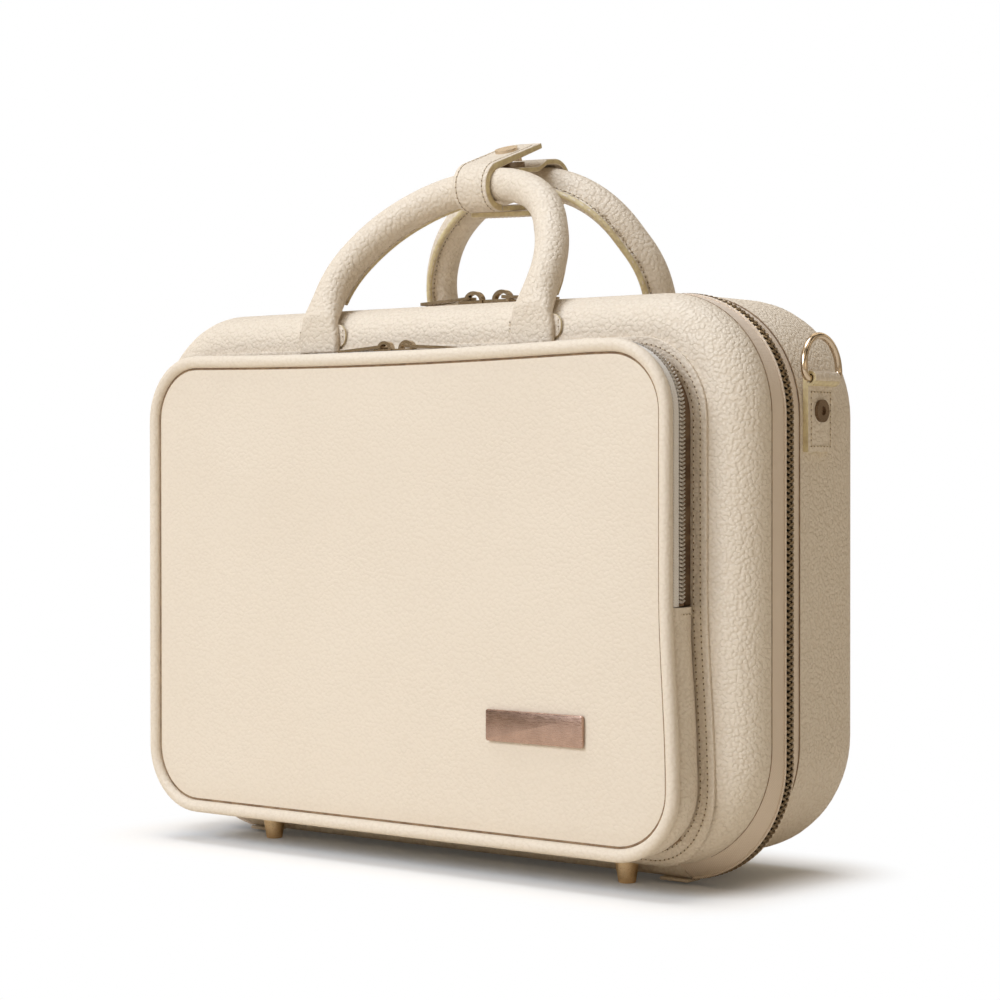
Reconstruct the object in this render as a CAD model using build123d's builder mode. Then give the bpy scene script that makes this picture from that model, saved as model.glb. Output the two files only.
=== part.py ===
from build123d import *
from math import atan2, cos, hypot, radians, sin, sqrt
import os

os.makedirs("parts", exist_ok=True)

# The case stands on its feet. X runs along its width, -Y is the front (lid)
# side and the floor is Z = 0. Depths are measured from the zip plane, where
# the two halves meet: negative in the lid, positive in the base.

# Outer shape of the two halves
case_width = 304.0
shell_height = 207.5
foot_height = 8.3
corner_radius = 45.0
lid_depth = 25.5
base_depth = 57.4
lid_roll = 14.0
base_roll = 22.0
shell_top = foot_height + shell_height

# Layers of the wall, from the outside in
leather = 1.2
core_wall = 4.0
lining = 1.2
rim_setback = 5.0
lining_setback = 6.0

# Main zip: tape, two rows of teeth, and the strip that hinges the halves
tape_thickness = 0.8
lid_tape_width = 11.5
base_tape_width = 7.0
teeth_reach = 2.9
teeth_slot = 0.8
teeth_proud = 0.5
zip_bottom = 2.2
zip_height = shell_top - zip_bottom
zip_end_x = 112.0
strip_clearance = 0.3
zip_tab_length = 13.0
zip_tab_width = 9.0

# Feet
foot_x = 90.0
foot_tip_radius = 3.2
foot_top_radius = 4.6
foot_edge = 0.6
foot_seat = 0.75
lid_foot_depth = -13.0
base_foot_depth = 31.0

# Pocket on the lid
pocket_margin = 23.4
pocket_top_drop = 19.8
pocket_fold_rise = 88.5
pocket_width = case_width - 2 * pocket_margin
pocket_bottom = 15.0
pocket_top = shell_top - pocket_top_drop
pocket_height = pocket_top - pocket_bottom
pocket_corner = 24.0
pocket_reach = 15.0
pocket_fold_height = pocket_bottom + pocket_fold_rise
fold_gap = 0.15
flange_width = 5.9
flange_top_width = 3.6
gusset_wall = 1.4
panel_thickness = 1.6
piping_radius = 2.5
coil_depth = 35.2
coil_slot = 0.4
coil_row = 1.8
coil_proud = 0.7
pocket_tape_inset = 0.3

# Badge plate on the pocket
plate_length = 44.5
plate_height = 11.6
plate_thickness = 1.5
plate_x = 71.4
plate_rise = 43.0
plate_z = pocket_bottom + plate_rise
plate_corner = 0.8
plate_bevel = 0.4

# Rolled handles: each arch is drawn in its own leaning plane, from neck to neck
wrap_x = 8.4
tube_radius = 6.5
tube_bore = 4.7
handle_core_fit = 0.2
seam_width = 4.6
seam_thickness = 2.2
seam_root = 1.0
knuckle_radius = 2.2
knuckle_width = 20.0
neck_thickness = 3.6
neck_corner = 1.6
neck_length = 16.0
seat_gap = 0.3
tab_width = 21.0
tab_thickness = 4.4
back_tab_height = 18.0
front_pivot_out = 3.5
front_pivot_drop = 7.3
front_pivot_height = shell_top - front_pivot_drop
front_tilt = 31.1
front_arch = [(-50.2, neck_length), (-50.2, 26.4), (-37.7, 46.4), (-14.5, 60.9), (18.2, 65.5), (43.0, 55.5),
              (57.3, 28.6), (57.3, neck_length)]
front_bends = [35.6, 52.1, 65.6, 48.8, 36.5, 49.6]
back_pivot_out = 2.5
back_pivot_drop = 9.8
back_pivot_height = shell_top - back_pivot_drop
back_tilt = -18.5
back_arch = [(-55.3, neck_length), (-55.3, 25.4), (-44.7, 45.4), (-22.2, 61.7), (7.9, 67.0), (37.9, 56.1),
             (56.3, 26.6), (56.3, neck_length)]
back_bends = [37.3, 52.1, 61.0, 56.7, 47.2, 36.5]

# Wrap that holds the two handles together
wrap_width = 17.0
wrap_thickness = 2.2
wrap_fit = 1.1
wrap_drop = 0.5
wrap_cant = 2.0
seam_break = 2.0
wrap_joint_gap = 0.3
back_strand = 5.0
tail_bend = 6.0
tail_margin = 1.4
tail_height = 5.4
flap_length = 30.0
flap_slope = 13.0
patch_width = 30.0
patch_length = 22.0
patch_start = 6.0
patch_thickness = 2.4
patch_corner = 5.0
snap_radius = 5.4
snap_height = 2.2
snap_gap = 0.3
snap_cap_radius = 4.6
snap_cap_height = 1.2

# Sliders and pulls of the main zip
main_meeting_x = 13.9
main_slider_length = 12.8
main_slider_reach = 4.4
main_slider_tail = 3.7
main_plate = 1.2
main_crown_length = 9.2
main_crown_height = 3.9
main_pull_length = 22.5
main_pull_width = 8.4

# Sliders and pulls of the pocket zip
pocket_meeting_x = -3.0
pocket_slider_length = 9.8
pocket_slider_reach = 3.6
pocket_slider_tail = 3.0
pocket_plate = 1.0
pocket_crown_length = 7.4
pocket_crown_height = 3.3
pocket_pull_length = 21.0
pocket_pull_width = 6.4

# Clearances and wire sizes that all four sliders share
meeting_gap = 0.3
slider_clearance = 0.3
slider_corner = 1.2
post_clearance = 0.2
post_length = 3.2
crown_thickness = 2.4
crown_wall = 1.3
pull_thickness = 1.2
pull_bar_radius = 0.7
pull_cheek = 1.0
pull_window_clearance = 0.5
pull_slot_width = 3.0
pull_tip_height = 1.6

# Shoulder-strap rings on the sides of the base
ring_depth = 17.3
ring_tab_width = 17.0
ring_tab_thickness = 2.2
ring_bar_drop = 31.4
ring_bar_height = shell_top - ring_bar_drop
ring_tab_length = 26.4
ring_tab_bottom = ring_bar_height - ring_tab_length
ring_bar_out = 2.8
ring_wire = 1.3
ring_width = 26.0
ring_rise = 16.8
ring_bend = 3.0
ring_lean = 4.0
ring_fit = 0.3
loop_wall = 1.1
rivet_drop = 11.6
rivet_height = ring_bar_height - rivet_drop
rivet_radius = 4.1
rivet_head = 1.2
rivet_dish = 1.6
rivet_dish_depth = 0.7

# Moulded tray for the instrument: each trough is a half outline turned about its axis,
# and stands at a share of the shell's height
tray_front = 8.0
trough_axis = 22.0
lower_joint = [(-137.0, 11.0), (-112.0, 11.0), (-104.0, 18.0), (104.0, 18.0), (112.0, 13.0), (137.0, 13.0)]
lower_joint_height = foot_height + 0.847 * shell_height
upper_joint = [(-128.0, 10.0), (-104.0, 10.0), (-98.0, 16.5), (92.0, 16.5), (100.0, 11.0), (128.0, 11.0)]
upper_joint_height = foot_height + 0.625 * shell_height
bell = [(-137.0, 20.5), (-122.0, 20.5), (-86.0, 15.0), (-24.0, 13.0), (-20.0, 10.5), (2.0, 10.5)]
bell_height = foot_height + 0.394 * shell_height
reed_bay = (24.0, 128.0, foot_height + 0.302 * shell_height, foot_height + 0.495 * shell_height)
reed_bay_depth = 26.0
swab_bay = (-112.0, 112.0, foot_height + 0.09 * shell_height, foot_height + 0.24 * shell_height)
swab_bay_depth = 30.0
bay_corner = 6.0
scoop_radius = 15.0
scoop_x = 62.0
scoop_bottom = upper_joint_height - 16.0
scoop_top = lower_joint_height + 17.0

# Pad inside the lid
pad_margin = 8.0
pad_thickness = 8.0
pad_edge = 3.0

# Places worked out from the sizes above
front_pivot_depth = -(lid_depth + front_pivot_out)
back_pivot_depth = base_depth + back_pivot_out
piping_depth = lid_depth + pocket_reach + piping_radius
front_reach = piping_depth + piping_radius
back_reach = back_pivot_depth + knuckle_radius
zip_y = (front_reach - back_reach) / 2
inside = leather + core_wall
lined = inside + lining
LID = -1
BASE = 1
LEFT = -1
RIGHT = 1
FORWARD = 1
BACKWARD = -1


def section(depth):
    """Upright plane across the case at a depth from the zip plane; it faces the front."""
    return Plane.XZ.offset(-(zip_y + depth))


def half(side, inset, rim):
    """One half of the case as a solid block, shrunk by an inset and cut off at its rim."""
    depth = (lid_depth if side == LID else base_depth) - inset
    roll = (lid_roll if side == LID else base_roll) - inset
    with BuildPart() as body:
        with BuildSketch(section(0)):
            with Locations((0, foot_height + shell_height / 2)):
                RectangleRounded(case_width - 2 * inset, shell_height - 2 * inset, corner_radius - inset)
        extrude(amount=-side * depth)
        far_face = body.faces().sort_by(Axis.Y)[0 if side == LID else -1]
        fillet(far_face.edges(), radius=roll)
        split(bisect_by=section(side * rim), keep=Keep.TOP if side == LID else Keep.BOTTOM)
    return body.part


def zip_band(outer, inner, start, end):
    """Band round the zip line between two insets and two depths, open along the bottom."""
    with BuildPart() as band:
        with BuildSketch(section(end)):
            with Locations((0, zip_bottom + zip_height / 2)):
                RectangleRounded(case_width - 2 * outer, zip_height - 2 * outer, corner_radius - outer)
                RectangleRounded(case_width - 2 * inner, zip_height - 2 * inner, corner_radius - inner,
                                 mode=Mode.SUBTRACT)
            with Locations((0, zip_bottom)):
                Rectangle(2 * zip_end_x, corner_radius, mode=Mode.SUBTRACT)
        extrude(amount=end - start)
    return band.part


def zip_tape(sewn_depth, teeth_depth):
    """Tape from a half's sewn edge to its teeth: along the bottom it slants down to the zip."""
    near, far = sorted((sewn_depth, teeth_depth))
    with BuildPart() as tape:
        for inset, mode in ((leather - tape_thickness, Mode.ADD), (leather, Mode.SUBTRACT)):
            with BuildSketch(section(sewn_depth)):
                with Locations((0, foot_height + shell_height / 2)):
                    RectangleRounded(case_width - 2 * inset, shell_height - 2 * inset, corner_radius - inset)
            with BuildSketch(section(teeth_depth)):
                with Locations((0, zip_bottom + zip_height / 2)):
                    RectangleRounded(case_width - 2 * inset, zip_height - 2 * inset, corner_radius - inset)
            loft(ruled=True, mode=mode)
        with BuildSketch(section(far)):
            with Locations((0, zip_bottom)):
                Rectangle(2 * zip_end_x, corner_radius)
        extrude(amount=far - near, mode=Mode.SUBTRACT)
    return tape.part


def keep_part_of_pocket(upper):
    """Cut the current sketch back to the part above or below the pocket's fold line."""
    with Locations((0, pocket_fold_height + (fold_gap if upper else -fold_gap))):
        Rectangle(2 * pocket_width, 2 * pocket_height, mode=Mode.SUBTRACT,
                  align=(Align.CENTER, Align.MAX if upper else Align.MIN))


def pocket_band(outer, inner, start, end, upper):
    """Band along the pocket's side wall between two insets and two depths."""
    with BuildPart() as band:
        with BuildSketch(section(end)):
            with Locations((0, pocket_bottom + pocket_height / 2)):
                RectangleRounded(pocket_width - 2 * outer, pocket_height - 2 * outer, pocket_corner - outer)
                RectangleRounded(pocket_width - 2 * inner, pocket_height - 2 * inner, pocket_corner - inner,
                                 mode=Mode.SUBTRACT)
            keep_part_of_pocket(upper)
        extrude(amount=end - start)
    return band.part


def pocket_panel(upper):
    """Flat front panel of the pocket, inside its piping."""
    with BuildPart() as panel:
        with BuildSketch(section(-piping_depth + panel_thickness / 2)):
            with Locations((0, pocket_bottom + pocket_height / 2)):
                RectangleRounded(pocket_width - 2 * piping_radius, pocket_height - 2 * piping_radius,
                                 pocket_corner - piping_radius)
            keep_part_of_pocket(upper)
        extrude(amount=panel_thickness)
    return panel.part


def pocket_piping(upper):
    """Round piping along the pocket's front edge."""
    side = pocket_width / 2
    end_height = pocket_fold_height + (fold_gap if upper else -fold_gap)
    far_height = pocket_top if upper else pocket_bottom
    with BuildPart() as cord:
        with BuildLine(section(-piping_depth)) as route:
            FilletPolyline((-side, end_height), (-side, far_height), (side, far_height), (side, end_height),
                           radius=pocket_corner)
        with BuildSketch(Plane(origin=route.line @ 0, z_dir=route.line % 0)):
            Circle(piping_radius)
        sweep()
    return cord.part


def feet(depth, shell):
    """Pair of turned feet seated under one half."""
    with BuildPart() as pair:
        with Locations((foot_x, zip_y + depth, 0), (-foot_x, zip_y + depth, 0)):
            Cone(foot_tip_radius, foot_top_radius, foot_height,
                 align=(Align.CENTER, Align.CENTER, Align.MIN))
        fillet(pair.edges().group_by(Axis.Z)[0], radius=foot_edge)
        with Locations((foot_x, zip_y + depth, foot_height), (-foot_x, zip_y + depth, foot_height)):
            Cylinder(foot_top_radius, foot_seat, align=(Align.CENTER, Align.CENTER, Align.MIN))
        add(shell, mode=Mode.SUBTRACT)
    return pair.part


def arch_plane(pivot_depth, pivot_height, tilt):
    """Plane in which a handle's arch lies: x along the case, y up the arch."""
    lean = radians(tilt)
    return Plane(origin=(0, zip_y + pivot_depth, pivot_height), x_dir=(1, 0, 0),
                 z_dir=(0, -cos(lean), sin(lean)))


def arch_rise(plane, points, bends):
    """Height of a handle's centre line, in its own plane, at the wrap."""
    with BuildLine(plane) as route:
        FilletPolyline(*points, radius=bends)
    crown = route.edges().filter_by(GeomType.CIRCLE).sort_by(Axis.Z)[-1]
    centre = plane.to_local_coords(crown.arc_center)
    return centre.Y + sqrt(crown.radius ** 2 - (wrap_x - centre.X) ** 2)


def arch_rod(plane, points, bends, radius):
    """Plain round rod along a handle's arch."""
    with BuildPart() as rod:
        with BuildLine(plane) as route:
            FilletPolyline(*points, radius=bends)
        with BuildSketch(Plane(origin=route.line @ 0, z_dir=route.line % 0)):
            Circle(radius)
        sweep(path=route.line)
    return rod.part


def neck(plane, end_x):
    """Flattened end of a handle's cover, from its tube down to the knuckle that it swings on."""
    foot = plane.from_local_coords((end_x, 0, 0))
    top = plane.from_local_coords((end_x, neck_length, 0))
    with BuildPart() as piece:
        with BuildSketch(Plane(origin=foot, x_dir=(1, 0, 0), z_dir=plane.y_dir)):
            RectangleRounded(knuckle_width, neck_thickness, neck_corner)
        with BuildSketch(Plane(origin=top, x_dir=(1, 0, 0), z_dir=plane.y_dir)):
            Circle(tube_radius)
        loft()
        with BuildSketch(Plane(origin=foot - Vector(knuckle_width / 2, 0, 0), z_dir=(1, 0, 0))):
            Circle(knuckle_radius)
        extrude(amount=knuckle_width)
    return piece.part


def arch_cover(plane, points, bends, rise, seam_side):
    """Leather tube along a handle's arch; its sewn seam faces the other handle and stops at the wrap."""
    necks = [neck(plane, points[0][0]), neck(plane, points[-1][0])]
    with BuildPart() as cover:
        with BuildLine(plane) as route:
            FilletPolyline(*points, radius=bends)
        start = Plane(origin=route.line @ 0, x_dir=plane.z_dir * seam_side, z_dir=route.line % 0)
        with BuildSketch(start):
            with Locations((tube_radius + (seam_width - seam_root) / 2 - seam_root, 0)):
                Rectangle(seam_width, seam_thickness)
        sweep(path=route.line)
        with BuildSketch(plane.offset(-2 * tube_radius)):
            with Locations((wrap_x, rise)):
                Rectangle(wrap_width + 2 * seam_break, 4 * tube_radius)
        extrude(amount=4 * tube_radius, mode=Mode.SUBTRACT)
        with BuildSketch(start):
            Circle(tube_radius)
            Circle(tube_bore, mode=Mode.SUBTRACT)
        sweep(path=route.line)
        for piece in necks:
            add(piece)
    return cover.part


def handle_tabs(face_depth, bottom, top, points):
    """Pair of stitched tabs that hold a handle on the face of its half."""
    with BuildPart() as tabs:
        with BuildSketch(section(face_depth)):
            with Locations((points[0][0], top), (points[-1][0], top)):
                Rectangle(tab_width, top - bottom, align=(Align.CENTER, Align.MAX))
        extrude(amount=tab_thickness)
        fillet(tabs.edges().filter_by(Axis.Z), radius=neck_corner)
    return tabs.part


def slider(meeting_x, away, top, depth, length, reach, tail, plate, slot, rows, proud, under,
           crown_length, crown_height):
    """Slider body round a zip: two plates joined by a post, with a crown for the pull."""
    nose = meeting_x + away * meeting_gap / 2
    plate_bottom = top + proud + slider_clearance
    plate_top = plate_bottom + plate
    under_top = top - under - slider_clearance
    floor_level = top + slider_clearance - under / 2
    y = zip_y + depth
    with BuildPart() as body:
        with BuildSketch(Plane.XY.offset(floor_level)):
            with BuildLine():
                Polyline((nose, y - reach), (nose + away * length, y - tail), (nose + away * length, y + tail),
                         (nose, y + reach), close=True)
            make_face()
        extrude(amount=plate_top - floor_level)
        fillet(body.edges().filter_by(Axis.Z), radius=slider_corner)
        with BuildSketch(Plane.XY.offset(floor_level)):
            with Locations((nose + away * length / 2, y)):
                Rectangle(2 * length, 2 * (rows + slider_clearance))
        extrude(amount=plate_bottom - floor_level, mode=Mode.SUBTRACT)
        with BuildSketch(Plane.XY.offset(under_top - plate)):
            with Locations((nose + away * length / 2, y)):
                Rectangle(length, 2 * tail)
        extrude(amount=plate)
        with BuildSketch(Plane.XY.offset(under_top - plate)):
            with Locations((nose + away * post_length / 2, y)):
                Rectangle(post_length, 2 * (slot - post_clearance))
        extrude(amount=plate_top - under_top + plate)
        with BuildSketch(section(depth + crown_thickness / 2)):
            with Locations((nose + away * (length + plate) / 2, plate_top)):
                Ellipse(crown_length / 2, crown_height)
                Ellipse(crown_length / 2 - crown_wall, crown_height - crown_wall, mode=Mode.SUBTRACT)
                Rectangle(crown_length, crown_height, align=(Align.CENTER, Align.MAX), mode=Mode.SUBTRACT)
        extrude(amount=crown_thickness)
    return body.part


def pull_pivot(meeting_x, away, top, length, plate, proud, crown_length):
    """Point in X and Z where a pull's bar lies in its slider's crown."""
    plate_top = top + proud + slider_clearance + plate
    crown_x = meeting_x + away * (meeting_gap / 2 + (length + plate) / 2)
    bar_out = crown_length / 2 - crown_wall - pull_bar_radius - 2 * slider_clearance
    return crown_x + away * bar_out, plate_top + pull_bar_radius + slider_clearance


def pull(pivot, away, top, depth, length, width):
    """Pull tab: a fork round the crown, closed by a round bar, and a long slotted grip."""
    pivot_x, pivot_z = pivot
    drop = atan2(pivot_z - top - pull_tip_height, length)
    lie = Plane(origin=(pivot_x, zip_y + depth, pivot_z), x_dir=(away * cos(drop), 0, -sin(drop)),
                z_dir=(away * sin(drop), 0, cos(drop)))
    root = crown_thickness / 2 + pull_window_clearance + pull_cheek
    fork = crown_wall + 2 * slider_clearance + pull_bar_radius + pull_thickness
    with BuildPart() as tab:
        with BuildSketch(lie.offset(-pull_thickness / 2)):
            with BuildLine():
                Polyline((-pull_bar_radius, -root), (fork + pull_thickness, -root), (length, -width / 2),
                         (length, width / 2), (fork + pull_thickness, root), (-pull_bar_radius, root),
                         close=True)
            make_face()
            with Locations((-pull_bar_radius, 0)):
                Rectangle(2 * (fork + pull_bar_radius), 2 * (root - pull_cheek), mode=Mode.SUBTRACT)
            with Locations(((length + fork) / 2 + pull_thickness, 0)):
                SlotOverall((length - fork) / 2 + pull_slot_width, pull_slot_width, mode=Mode.SUBTRACT)
        extrude(amount=pull_thickness)
        with BuildSketch(section(depth + root)):
            with Locations((pivot_x, pivot_z)):
                Circle(pull_bar_radius)
        extrude(amount=2 * root)
    return tab.part


def ring_tab(side):
    """Leather loop on the base's side; the ring's bar passes through its top."""
    wall = side * case_width / 2
    loop_bore = ring_wire + ring_fit
    with BuildPart() as tab:
        with BuildSketch(section(ring_depth + ring_tab_width / 2)):
            with Locations((wall + side * ring_tab_thickness / 2, ring_tab_bottom)):
                Rectangle(ring_tab_thickness, ring_bar_height - ring_tab_bottom,
                          align=(Align.CENTER, Align.MIN))
            with Locations((wall + side * ring_bar_out, ring_bar_height)):
                Circle(loop_bore + loop_wall)
                Circle(loop_bore, mode=Mode.SUBTRACT)
            with Locations((wall, 0)):
                Rectangle(case_width, 2 * shell_top, mode=Mode.SUBTRACT,
                          align=(Align.MAX if side == RIGHT else Align.MIN, Align.CENTER))
        extrude(amount=ring_tab_width)
    return tab.part


def d_ring(side):
    """D-shaped wire ring standing in its tab, leaning on the base's side."""
    lean = radians(ring_lean)
    bar = Vector(side * (case_width / 2 + ring_bar_out), zip_y + ring_depth, ring_bar_height)
    plane = Plane(origin=bar, x_dir=(0, 1, 0), z_dir=(side * cos(lean), 0, sin(lean)))
    up = 1 if plane.y_dir.Z > 0 else -1
    half_bar = ring_width / 2 - ring_wire
    leg = up * (ring_rise - ring_wire - half_bar)
    with BuildPart() as ring:
        with BuildLine(plane) as lower:
            FilletPolyline((-half_bar, leg), (-half_bar, 0), (half_bar, 0), (half_bar, leg), radius=ring_bend)
        with BuildSketch(Plane(origin=lower.line @ 0, z_dir=lower.line % 0)):
            Circle(ring_wire)
        sweep()
        with BuildLine(plane) as upper:
            ThreePointArc((-half_bar, leg), (0, leg + up * half_bar), (half_bar, leg))
        with BuildSketch(Plane(origin=upper.line @ 0, z_dir=upper.line % 0)):
            Circle(ring_wire)
        sweep()
    return ring.part


def trough(outline, height):
    """Space for one joint of the instrument: its turned outline, open towards the front."""
    first_x = outline[0][0]
    last_x = outline[-1][0]
    above = [(x, height + radius) for x, radius in outline]
    below = [(x, height - radius) for x, radius in reversed(outline)]
    with BuildPart() as space:
        with BuildSketch(section(trough_axis)):
            with BuildLine():
                Polyline((first_x, height), *above, (last_x, height), close=True)
            make_face()
        revolve(axis=Axis((0, zip_y + trough_axis, height), (1, 0, 0)))
        with BuildSketch(section(trough_axis)):
            with BuildLine():
                Polyline(*above, *below, close=True)
            make_face()
        extrude(amount=trough_axis)
    return space.part


def bay(limits, depth):
    """Rounded bay sunk into the tray from its front."""
    low_x, high_x, low_z, high_z = limits
    with BuildPart() as space:
        with BuildSketch(section(tray_front + depth)):
            with Locations(((low_x + high_x) / 2, (low_z + high_z) / 2)):
                RectangleRounded(high_x - low_x, high_z - low_z, bay_corner)
        extrude(amount=tray_front + depth)
        fillet(space.faces().sort_by(Axis.Y)[-1].edges(), radius=bay_corner / 2)
    return space.part


# Base: the deep half that holds the instrument
base_outside = half(BASE, 0, base_tape_width)
base_under_leather = half(BASE, leather, 0)
base_core_outside = half(BASE, leather, rim_setback)
base_inside = half(BASE, inside, 0)
base_lining_outside = half(BASE, inside, lining_setback)
base_room = half(BASE, lined, 0)
tray_block = half(BASE, lined, tray_front)

with BuildPart() as base_cover:
    add(base_outside)
    add(base_under_leather, mode=Mode.SUBTRACT)

with BuildPart() as base_core:
    add(base_core_outside)
    add(base_inside, mode=Mode.SUBTRACT)

with BuildPart() as base_lining:
    add(base_lining_outside)
    add(base_room, mode=Mode.SUBTRACT)

troughs = [
    trough(lower_joint, lower_joint_height),
    trough(upper_joint, upper_joint_height),
    trough(bell, bell_height),
    bay(reed_bay, reed_bay_depth),
    bay(swab_bay, swab_bay_depth),
]
with BuildPart() as joint_tray:
    add(tray_block)
    for space in troughs:
        add(space, mode=Mode.SUBTRACT)
    with Locations((-scoop_x, zip_y + tray_front, scoop_bottom), (scoop_x, zip_y + tray_front, scoop_bottom)):
        Cylinder(scoop_radius, scoop_top - scoop_bottom, mode=Mode.SUBTRACT,
                 align=(Align.CENTER, Align.CENTER, Align.MIN))

base_feet_pair = feet(base_foot_depth, base_outside)
with BuildPart() as base_feet:
    add(base_feet_pair)

base_tape_band = zip_tape(base_tape_width, teeth_reach)
with BuildPart() as base_zip_tape:
    add(base_tape_band)

base_teeth_band = zip_band(-teeth_proud, leather, teeth_slot, teeth_reach)
with BuildPart() as base_zip_teeth:
    add(base_teeth_band)

# Lid: the shallow half that carries the pocket
lid_outside = half(LID, 0, lid_tape_width)
lid_full_outside = half(LID, 0, 0)
lid_under_leather = half(LID, leather, 0)
lid_core_outside = half(LID, leather, rim_setback)
lid_inside = half(LID, inside, 0)
lid_lining_outside = half(LID, inside, lining_setback)
lid_room = half(LID, lined, 0)
lid_flange_outside = half(LID, -leather, 0)

with BuildPart() as lid_cover:
    add(lid_outside)
    add(lid_under_leather, mode=Mode.SUBTRACT)

with BuildPart() as lid_core:
    add(lid_core_outside)
    add(lid_inside, mode=Mode.SUBTRACT)

with BuildPart() as lid_lining:
    add(lid_lining_outside)
    add(lid_room, mode=Mode.SUBTRACT)

pad_inset = lined + pad_margin
with BuildPart() as lid_pad:
    with BuildSketch(section(lined + pad_thickness - lid_depth)):
        with Locations((0, foot_height + shell_height / 2)):
            RectangleRounded(case_width - 2 * pad_inset, shell_height - 2 * pad_inset,
                             corner_radius - pad_inset)
    extrude(amount=pad_thickness)
    fillet(lid_pad.faces().sort_by(Axis.Y)[-1].edges(), radius=pad_edge)

lid_feet_pair = feet(lid_foot_depth, lid_full_outside)
with BuildPart() as lid_feet:
    add(lid_feet_pair)

lid_tape_band = zip_tape(-lid_tape_width, -teeth_reach)
with BuildPart() as lid_zip_tape:
    add(lid_tape_band)

lid_teeth_band = zip_band(-teeth_proud, leather, -teeth_reach, -teeth_slot)
with BuildPart() as lid_zip_teeth:
    add(lid_teeth_band)

# Soft strip along the bottom that hinges the two halves: it sags between its sewn edges
strip_top = foot_height + leather
lid_edge = -(rim_setback + 2 * leather)
base_edge = rim_setback + leather / 2
strip_middle = (lid_edge + base_edge) / 2
strip_plane = Plane(origin=(strip_clearance - zip_end_x, zip_y, 0), x_dir=(0, 1, 0), z_dir=(1, 0, 0))
with BuildPart() as hinge_strip:
    with BuildSketch(strip_plane):
        with BuildLine():
            Polyline((lid_edge + leather / 2, strip_top), (-lid_tape_width, strip_top),
                     (-lid_tape_width, foot_height), (lid_edge - leather / 2, foot_height))
            ThreePointArc((lid_edge - leather / 2, foot_height), (strip_middle, zip_bottom),
                          (base_edge + leather / 2, foot_height))
            Polyline((base_edge + leather / 2, foot_height), (base_tape_width, foot_height),
                     (base_tape_width, strip_top), (base_edge - leather / 2, strip_top))
            ThreePointArc((base_edge - leather / 2, strip_top), (strip_middle, zip_bottom + leather),
                          (lid_edge + leather / 2, strip_top))
        make_face()
    extrude(amount=2 * (zip_end_x - strip_clearance))

with BuildPart() as zip_end_tabs:
    with BuildSketch(Plane.XY.offset(zip_bottom - leather)):
        with Locations((zip_end_x - zip_tab_length / 2 - strip_clearance, zip_y + strip_middle),
                       (-zip_end_x + zip_tab_length / 2 + strip_clearance, zip_y + strip_middle)):
            RectangleRounded(zip_tab_length, zip_tab_width, slider_corner)
    extrude(amount=leather)

# Pocket: flange, side wall, piping and front panel, parted along the fold line
with BuildPart() as pocket_flange:
    with BuildSketch(section(0)):
        with Locations((0, pocket_top + flange_top_width)):
            flange_height = pocket_height + flange_width + flange_top_width
            with Locations((0, -flange_height / 2)):
                RectangleRounded(pocket_width + 2 * flange_width, flange_height, pocket_corner + flange_width)
        with Locations((0, pocket_bottom + pocket_height / 2)):
            RectangleRounded(pocket_width - 2 * gusset_wall, pocket_height - 2 * gusset_wall,
                             pocket_corner - gusset_wall, mode=Mode.SUBTRACT)
    extrude(amount=front_reach)
    add(lid_flange_outside, mode=Mode.INTERSECT)
    add(lid_full_outside, mode=Mode.SUBTRACT)

lower_wall = pocket_band(0, gusset_wall, -(piping_depth - piping_radius), -lid_depth / 2, False)
with BuildPart() as pocket_gusset:
    add(lower_wall)
    add(lid_flange_outside, mode=Mode.SUBTRACT)

flange_face = -(lid_depth + leather)
coil_inner = -(coil_depth - coil_slot - coil_row)
coil_outer = -(coil_depth + coil_slot + coil_row)
tape_inner = pocket_tape_inset + tape_thickness

inner_tape = pocket_band(pocket_tape_inset, tape_inner, coil_inner, flange_face, True)
with BuildPart() as pocket_inner_tape:
    add(inner_tape)

inner_coil = pocket_band(-coil_proud, coil_proud, -(coil_depth - coil_slot), coil_inner, True)
with BuildPart() as pocket_inner_coil:
    add(inner_coil)

outer_coil = pocket_band(-coil_proud, coil_proud, coil_outer, -(coil_depth + coil_slot), True)
with BuildPart() as pocket_outer_coil:
    add(outer_coil)

outer_tape = pocket_band(pocket_tape_inset, tape_inner, -(piping_depth - piping_radius), coil_outer, True)
with BuildPart() as pocket_outer_tape:
    add(outer_tape)

lower_piping = pocket_piping(False)
with BuildPart() as pocket_piping_lower:
    add(lower_piping)

upper_piping = pocket_piping(True)
with BuildPart() as pocket_piping_upper:
    add(upper_piping)

lower_panel = pocket_panel(False)
with BuildPart() as pocket_panel_lower:
    add(lower_panel)

upper_panel = pocket_panel(True)
with BuildPart() as pocket_panel_upper:
    add(upper_panel)

with BuildPart() as badge_plate:
    with BuildSketch(section(-(piping_depth + panel_thickness / 2))):
        with Locations((plate_x, plate_z)):
            RectangleRounded(plate_length, plate_height, plate_corner)
    extrude(amount=plate_thickness)
    chamfer(badge_plate.faces().sort_by(Axis.Y)[0].edges(), length=plate_bevel)

# Handles
front_plane = arch_plane(front_pivot_depth, front_pivot_height, front_tilt)
front_rise = arch_rise(front_plane, front_arch, front_bends)
front_cover = arch_cover(front_plane, front_arch, front_bends, front_rise, BACKWARD)
with BuildPart() as front_handle_cover:
    add(front_cover)

front_rod = arch_rod(front_plane, front_arch, front_bends, tube_bore - handle_core_fit)
with BuildPart() as front_handle_core:
    add(front_rod)

flange_top = pocket_top + flange_top_width
front_tabs = handle_tabs(-lid_depth, flange_top, front_pivot_height - knuckle_radius - seat_gap, front_arch)
with BuildPart() as front_handle_tabs:
    add(front_tabs)

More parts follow.
